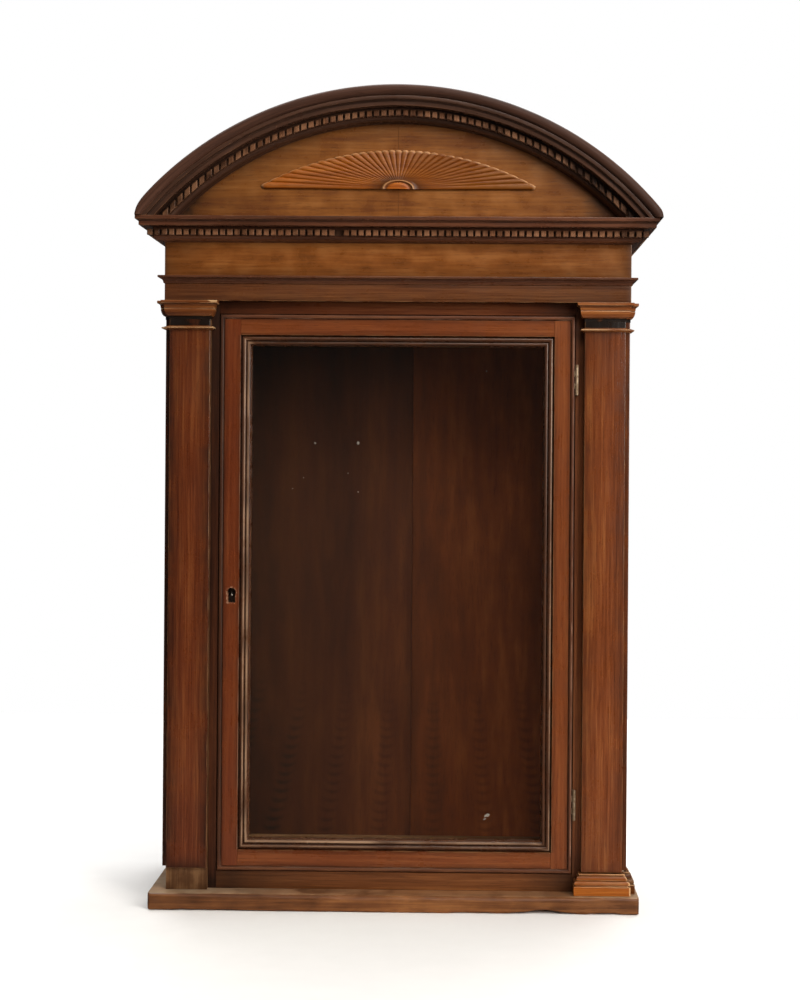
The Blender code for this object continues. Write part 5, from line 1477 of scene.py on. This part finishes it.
moulding(
    "glazing_moulding", glazing_profile, BEAD_ARRIS, sight_path, *glazing, loop=True, hollow=glazing_dirt_and_shade,
    crest=glazing_wear_and_highlight,
)
print(f"glazing moulding {1000 * GLAZING_WIDTH:.1f} mm wide, {1000 * glazing_depth:.1f} mm deep")

# %% [markdown]
# ## Plain boards that stay
# The posts, rails, stiles and inner boards have the right shape already: their edges are hidden by mouldings.
# New boards would add nothing, so they keep their solids and get mahogany on object coordinates, with the grain
# along each board. Dirt, painted shade and a painted highlight follow from the distance to an edge, a corner or
# the arch.

# %% Dirt, painted shade and highlight on door and pediment
KEYHOLE_RADIUS, KEYHOLE_SLOT, KEYHOLE_DROP = 0.0056, 0.0096, 0.0130
KEYHOLE_INSET = 0.0160  # from the door's edge
KEYHOLE_LINE = (0.0020, 0.0009)  # distances between which the pale line round it grows
SPLINTER_MM = 2.38  # the line is broken about this often
DOOR_FRAME = 0.0255  # width of stiles and rails
EDGE_DIRT = 0.006  # dirt fades out over this distance from their edges
lock_box = limits("lock_case")
keyhole_x, keyhole_z = -half_door + KEYHOLE_INSET, lock_box[0][2] / 2 + lock_box[1][2] / 2
door_middle = (0.0, 0.0, (door_low[2] + door_high[2]) / 2)
door_half = (half_door, 0.0, (door_high[2] - door_low[2]) / 2)


def tympanum_painted_shade(tree):
    """Painted shade under the arch: 0 well inside the field, 1 against the arched cornice and in the two
    corners, and darker towards both ends.
    """
    x, _, z = object_xyz(tree)
    height = add_node(tree, "Math", (z, z_centre), operation="SUBTRACT")
    flat = add_node(tree, "CombineXYZ", (x, height))
    radius = add_node(tree, "VectorMath", (flat,), "Value", operation="LENGTH")
    beside = add_node(tree, "Math", (x,), operation="ABSOLUTE")
    return highest(
        tree, (radius, arch_radius - 0.034, arch_radius + 0.002, 0.0, 0.7), (beside, 0.13, 0.26, 0.0, 0.5),
        (beside, 0.215, 0.256, 0.0, 1.15),
    ), 0.0


def frame_dirt_and_highlight(axis):
    """Dirt along both edges of a door stile or rail, and on the inner one a thin pale line, a painted highlight
    on its sharp edge, from the distances to them. The inner edge ends where the next board butts against it."""

    def dirt(tree):
        spot = add_node(tree, "TexCoord", output="Object")
        place = add_node(tree, "VectorMath", (spot, door_middle), operation="SUBTRACT")
        place = add_node(tree, "VectorMath", (place,), operation="ABSOLUTE")
        place = add_node(tree, "SeparateXYZ", (place,)).node.outputs
        sight = door_half[2 - axis] - DOOR_FRAME
        inside = add_node(tree, "MapRange", (place[2 - axis], sight, sight - 0.001))
        outer, inner = (
            add_node(tree, "Math", (place[axis], door_half[axis] - edge), operation="SUBTRACT")
            for edge in (COCKBEAD_WIDTH, DOOR_FRAME)
        )
        outer = add_node(tree, "Math", (outer,), operation="ABSOLUTE")
        inner = add_node(tree, "Math", (inner,), operation="ABSOLUTE")
        # painted highlight: a thin pale line on the sharp inner edge
        worn = add_node(tree, "MapRange", (inner, 0.0010, 0.0005, 0.0, 0.4))
        worn = add_node(tree, "Math", (worn, inside), operation="MULTIPLY")
        inner = add_node(tree, "MapRange", (inner, EDGE_DIRT, 0.0, 0.0, 0.6))
        inner = add_node(tree, "Math", (inner, inside), operation="MULTIPLY")
        return highest(tree, (outer, EDGE_DIRT, 0.0, 0.0, 0.6), least=inner), worn

    return dirt


def keyhole_wear(tree):
    """Pale bare wood in a thin line round the keyhole, where the escutcheon is lost, from the distance to its
    outline: the smaller of the distances to a disc and to a box below it. The frame's dirt and painted
    highlight come with it."""
    spot = add_node(tree, "TexCoord", output="Object")
    shift = add_node(tree, "VectorMath", (spot, (keyhole_x, 0.0, keyhole_z)), operation="SUBTRACT")
    flat = add_node(tree, "VectorMath", (shift, (1.0, 0.0, 1.0)), operation="MULTIPLY")
    length = add_node(tree, "VectorMath", (flat,), "Value", operation="LENGTH")
    disc = add_node(tree, "Math", (length, KEYHOLE_RADIUS), operation="SUBTRACT")
    x, _, z = add_node(tree, "SeparateXYZ", (flat,)).node.outputs
    beside = add_node(tree, "Math", (x,), operation="ABSOLUTE")
    beside = add_node(tree, "Math", (beside, KEYHOLE_SLOT / 2), operation="SUBTRACT")
    below = add_node(tree, "Math", (-KEYHOLE_DROP, z), operation="SUBTRACT")
    box = add_node(tree, "Math", (beside, below), operation="MAXIMUM")
    box = add_node(tree, "Math", (box, z), operation="MAXIMUM")
    nearest = add_node(tree, "Math", (disc, box), operation="MINIMUM")
    broken = add_node(tree, "TexNoise", {"Vector": spot, "Scale": noise_scale(SPLINTER_MM), "Detail": 2.0})
    ring = add_node(tree, "MapRange", (nearest, *KEYHOLE_LINE))
    broken = add_node(tree, "MapRange", (broken, 0.42, 0.56))
    ring = add_node(tree, "Math", (ring, broken), operation="MULTIPLY")
    dirt, edge = frame_dirt_and_highlight(X)(tree)
    return dirt, add_node(tree, "Math", (edge, ring), operation="MAXIMUM")


def darker_towards_ends(axis, *ramps):
    """Darkening that grows towards the ends of a board: the largest of ramps along an axis."""

    def dirt(tree):
        return highest(tree, *((object_xyz(tree)[axis], *ramp) for ramp in ramps)), 0.0

    return dirt


print(f"keyhole at x {keyhole_x:.4f} m, z {keyhole_z:.4f} m")

# %% [markdown]
# What shows of these boards from the front is the frame of the door, the field of the pediment, and the posts
# and rails round the door. One mahogany could serve them all, but each board was cut and stained by itself, and
# dirt, painted shade and painted light sit in other places, so each kind has its own colours.

# %% Door frame, pediment, posts and rails
FRAME_RED = ("#622F14", "#763C1C", "#884D26")
POST_FOOT = (0.085, 0.03, 0.0, 1.1)  # the corner at the foot


def finish_nodes(material, *names):
    """Gives a material to solids that stay."""
    for name in names:
        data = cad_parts[name].data
        data.materials.clear()
        data.materials.append(material)


# the door's frame: darker and redder at the lock, partly as painted shade on the left, with a pale line round
# the keyhole, dirt along the mouldings and a painted highlight along the sight edge
finish_nodes(mahogany(
    "french_polished_lock_stile_mahogany", "#56240F", "#682F15", "#793E1E", grain="Z",
    wear="#B58A6C", rubbing=(0.3, 0.6), extra=keyhole_wear,
), "door_stile_lock")
finish_nodes(
    mahogany("french_polished_hinge_stile_mahogany", *FRAME_RED, grain="Z", extra=frame_dirt_and_highlight(X)),
    "door_stile_hinge",
)
finish_nodes(
    mahogany("french_polished_door_rail_mahogany", *FRAME_RED, grain="X", extra=frame_dirt_and_highlight(Z)),
    "door_rail_top", "door_rail_bottom",
)
# the pediment's field: golden and cloudy, with painted shade under the arch, and bare behind
finish_nodes(mahogany(
    "french_polished_tympanum_mahogany", "#6A3C1D", "#844F21", "#975F2C", grain="X",
    coarse=2.2, mottle=0.45, extra=tympanum_painted_shade, layers=(bare_behind,),
), "tympanum_left", "tympanum_right")
# posts and rails round the door: duller; the left post and the head rail darker as painted shade, the right
# post lighter as painted light, with painted shade at the posts' tops and the head rail's ends under the
# capitals, and darker at the posts' feet and the bottom rail's ends
finish_nodes(mahogany(
    "waxed_bottom_rail_mahogany", "#4C2911", "#6E3F1F", "#86522B", grain="X",
    polish=0.36, gloss=0.25, cloud=0.8,
    extra=darker_towards_ends(X, (-0.09, -0.21, 0.05, 0.95), (0.15, 0.22, 0.0, 0.9)),
), "bottom_rail")
finish_nodes(mahogany(
    "post_mahogany_painted_shade", "#2A140A", "#402010", "#562E18", grain="Z", polish=0.45, gloss=0.15,
    extra=darker_towards_ends(Z, (0.45, 0.735, 0.1, 1.0), POST_FOOT),
), "post_left")
finish_nodes(mahogany(
    "post_mahogany_painted_light", "#522A15", "#6C3A1D", "#834C27", grain="Z", polish=0.45, gloss=0.2,
    extra=darker_towards_ends(Z, (0.60, 0.735, 0.0, 1.0), POST_FOOT),
), "post_right")
finish_nodes(mahogany(
    "head_rail_mahogany_painted_shade", "#3C1C0E", "#562B16", "#6C3D22", grain="X", gloss=0.2,
    extra=darker_towards_ends(X, (0.16, 0.22, 0.0, 1.0), (-0.16, -0.22, 0.0, 1.0)),
), "head_rail")
print(len(bpy.data.materials), "materials so far")

# %% [markdown]
# Inside and behind, nobody polished: the panels are thinly stained, the floor is dusty, and the cores, the
# top and the block behind the pediment are raw pine. A single plain brown would do for parts seldom seen,
# but with the door open they are seen.

# %% Inner boards and pine
INSIDE_BROWN = ("#3A1A0C", "#532711", "#673418")
# inner boards: thinly stained or dusty, so that they are matt and don't catch the light
finish_nodes(
    mahogany("thin_stained_inside_mahogany", *INSIDE_BROWN, grain="Z", polish=0.6, gloss=0.15),
    "side_panel_left", "side_panel_right", "glazing_bead",
)
finish_nodes(
    mahogany("dusty_floor_mahogany", "#523621", "#6E4C32", "#866448", grain="X", polish=0.6, gloss=0.15),
    "floor_board", "door_stop",
)
# raw pine: pale and dry, hardly a shine
finish_nodes(mahogany(
    "raw_pine_core", "#442A15", "#573820", "#745335", grain="Z", polish=0.7, gloss=0.15, coarse=2.0, mottle=0.7
), "pilaster_core_left", "pilaster_core_right")
finish_nodes(
    mahogany("raw_pine_boards", "#5E4128", "#80603F", "#9D7C57", grain="X", polish=0.8),
    "top_board", "seam_block",
)
print(len(bpy.data.materials), "materials with those of the plain boards")

# %% [markdown]
# ## Glass, brass and iron
# The pane is old sheet glass: clear, faintly green and a little wavy. A Principled shader with full
# transmission gives it. Shadow rays would stop at it, so they meet a transparent shader instead, and the
# lamps light the inside.

# %% Glass
PANE_TINT = linear("#F4F7F3")
PANE_WAVE_MM = 143.0  # width of the waves in the sheet
pane_glass, tree, shader = new_material("old_sheet_glass")  # clear, but it bends what lies behind a little
spot = add_node(tree, "TexCoord", output="Object")
waves = add_node(tree, "TexNoise", {"Vector": spot, "Scale": noise_scale(PANE_WAVE_MM)})
bump = add_node(tree, "Bump", {"Height": waves, "Strength": 0.15, "Distance": 0.002})
feed(tree, shader, {
    "Base Color": PANE_TINT, "Transmission Weight": 1.0, "IOR": 1.5, "Roughness": 0.0, "Normal": bump,
})
clear = add_node(tree, "BsdfTransparent", (PANE_TINT,))
shadow = add_node(tree, "LightPath", output="Is Shadow Ray")
through = add_node(tree, "MixShader", (shadow, shader.outputs[0], clear))
tree.links.new(through, tree.nodes["Material Output"].inputs["Surface"])
finish_nodes(pane_glass, "glass_pane")
print("pane with waves of", PANE_WAVE_MM, "mm")

# %% [markdown]
# The hinges and the bolt are cast brass gone dull and brown, and the lock is forged iron kept with oil. A
# plain metal would look new. Both have stains, so one function makes them: cloudy noise picks between a
# bright and a dull colour, and the dull places are rougher.

# %% Brass and iron
TARNISH_MM = 3.85  # width of the stains


def metal(name, bright, dull, polish):
    """A metal whose tarnish follows cloudy noise: bright where rubbed, dull and rough elsewhere."""
    material, tree, shader = new_material(name)
    spot = add_node(tree, "TexCoord", output="Object")
    cloud = add_node(tree, "TexNoise", {"Vector": spot, "Scale": noise_scale(TARNISH_MM), "Detail": 5.0})
    rubbed = add_node(tree, "MapRange", (cloud, 0.42, 0.62))
    colour = add_node(tree, "Mix", {0: rubbed, 6: linear(dull), 7: linear(bright)}, **MIX_COLOURS)
    rough = add_node(tree, "MapRange", (cloud, 0.35, 0.65, polish + 0.2, polish))
    feed(tree, shader, {"Base Color": colour, "Roughness": rough, "Metallic": 1.0})
    return material


dull_brass = metal("tarnished_brass", "#C9B296", "#AD9478", 0.62)  # soft and brownish, no sharp mirror light
oiled_iron = metal("oiled_iron", "#6E6A64", "#4C4843", 0.40)  # dark grey with a greasy shine
for place in ("top", "bottom"):
    finish_nodes(dull_brass, *(f"hinge_{place}_{piece}" for piece in ("door_leaf", "post_leaf", "pin")))
finish_nodes(dull_brass, "lock_bolt")
finish_nodes(oiled_iron, "lock_case")
print(len(bpy.data.materials), "materials")

# %% [markdown]
# ## Small things on the door
# Flecks of old paint have dried on the pane. Dots in the glass shader would be flat; a fleck is a flat dome
# on a polar grid with an uneven rim, so that it catches a little light.

# %% Flecks
FLECKS = (
    (-0.1037, 0.5798, 0.0013, 0.0013), (-0.0495, 0.5802, 0.0015, 0.0022), (-0.0490, 0.5184, 0.0009, 0.0009),
    (-0.1180, 0.5360, 0.0007, 0.0007), (-0.1320, 0.5220, 0.0007, 0.0006), (-0.0620, 0.5420, 0.0006, 0.0006),
    (0.1165, 0.1115, 0.0030, 0.0024), (0.1135, 0.1070, 0.0014, 0.0012), (0.1120, 0.6720, 0.0007, 0.0007),
)  # x, z, half width and half height on the pane
FLECK_SPOKES, FLECK_RINGS, FLECK_HEIGHT = 12, 5, 0.0004
FLECK_GRIT_MM = 0.6667  # chalk is finer; drawn coarser, so that it shows
chalk, tree, shader = new_material("dried_chalky_paint")  # small dull specks that lie on the glass
spot = add_node(tree, "TexCoord", output="Object")
grit = add_node(tree, "TexNoise", {"Vector": spot, "Scale": noise_scale(FLECK_GRIT_MM)})
colour = add_node(tree, "Mix", {0: grit, 6: linear("#625B50"), 7: linear("#A0978A")}, **MIX_COLOURS)
feed(tree, shader, {"Base Color": colour, "Roughness": 0.8})
pane_front = limits("glass_pane")[0][1]
spoke = np.arange(FLECK_SPOKES) * 2 * np.pi / FLECK_SPOKES
ring = np.linspace(1, 0, FLECK_RINGS)[:, None]
fleck_faces = grid_faces(FLECK_RINGS, FLECK_SPOKES, False, True)
points, faces = [], []
for i, (x, z, wide, tall) in enumerate(FLECKS):
    uneven = 1 + 0.25 * np.random.default_rng(i).uniform(-1, 1, FLECK_SPOKES)
    across, up = wide * uneven * np.cos(spoke) * ring, tall * uneven * np.sin(spoke) * ring
    out = np.broadcast_to(FLECK_HEIGHT * np.sqrt(1 - ring**2), across.shape)
    faces.append(fleck_faces + len(points) * FLECK_RINGS * FLECK_SPOKES)
    points.append(np.stack([x + across + 0.9 * up * (wide > tall), pane_front - out, z + up], axis=-1))
make_piece(
    "dried_paint_flecks", np.concatenate(points), np.concatenate(faces), "door", chalk, [], "glass", close=True
)
print(len(FLECKS), "flecks")

# %% [markdown]
# The lock's drill pin, which the key slides over, shines in the keyhole. A bright dot would do from the
# front, but not from the side. So it is a short cylinder that ends in a dome, one more polar grid: rings
# with a depth and a radius each.

# %% Drill pin
PIN_RADIUS, PIN_DROP = 0.0014, 0.0038  # radius, and drop below the middle of the keyhole
PIN_DEEP, PIN_END = 0.0085, 0.0020  # depths of its root and its end behind the door's face
PIN_DOME = np.array([(0.0, 1.0), (0.0005, 0.85), (0.0008, 0.5), (0.0009, 0.0)])  # way out, share of radius
bright_steel = metal("worn_bright_steel", "#E8E4DC", "#B9B2A6", 0.25)  # one bright point in the dark keyhole
depth = np.append(PIN_DEEP, PIN_END - PIN_DOME[:, 0])[:, None]
radius = PIN_RADIUS * np.append(1.0, PIN_DOME[:, 1])[:, None]
pin = np.stack([
    keyhole_x + radius * np.cos(spoke),
    y_door + depth + 0 * spoke,
    keyhole_z - PIN_DROP + radius * np.sin(spoke),
], axis=-1)
make_piece(
    "drill_pin_end", pin, grid_faces(len(pin), FLECK_SPOKES, False, True), "door", bright_steel, [], "iron",
    close=True,
)
print(f"drill pin {2000 * PIN_RADIUS:.1f} mm thick")
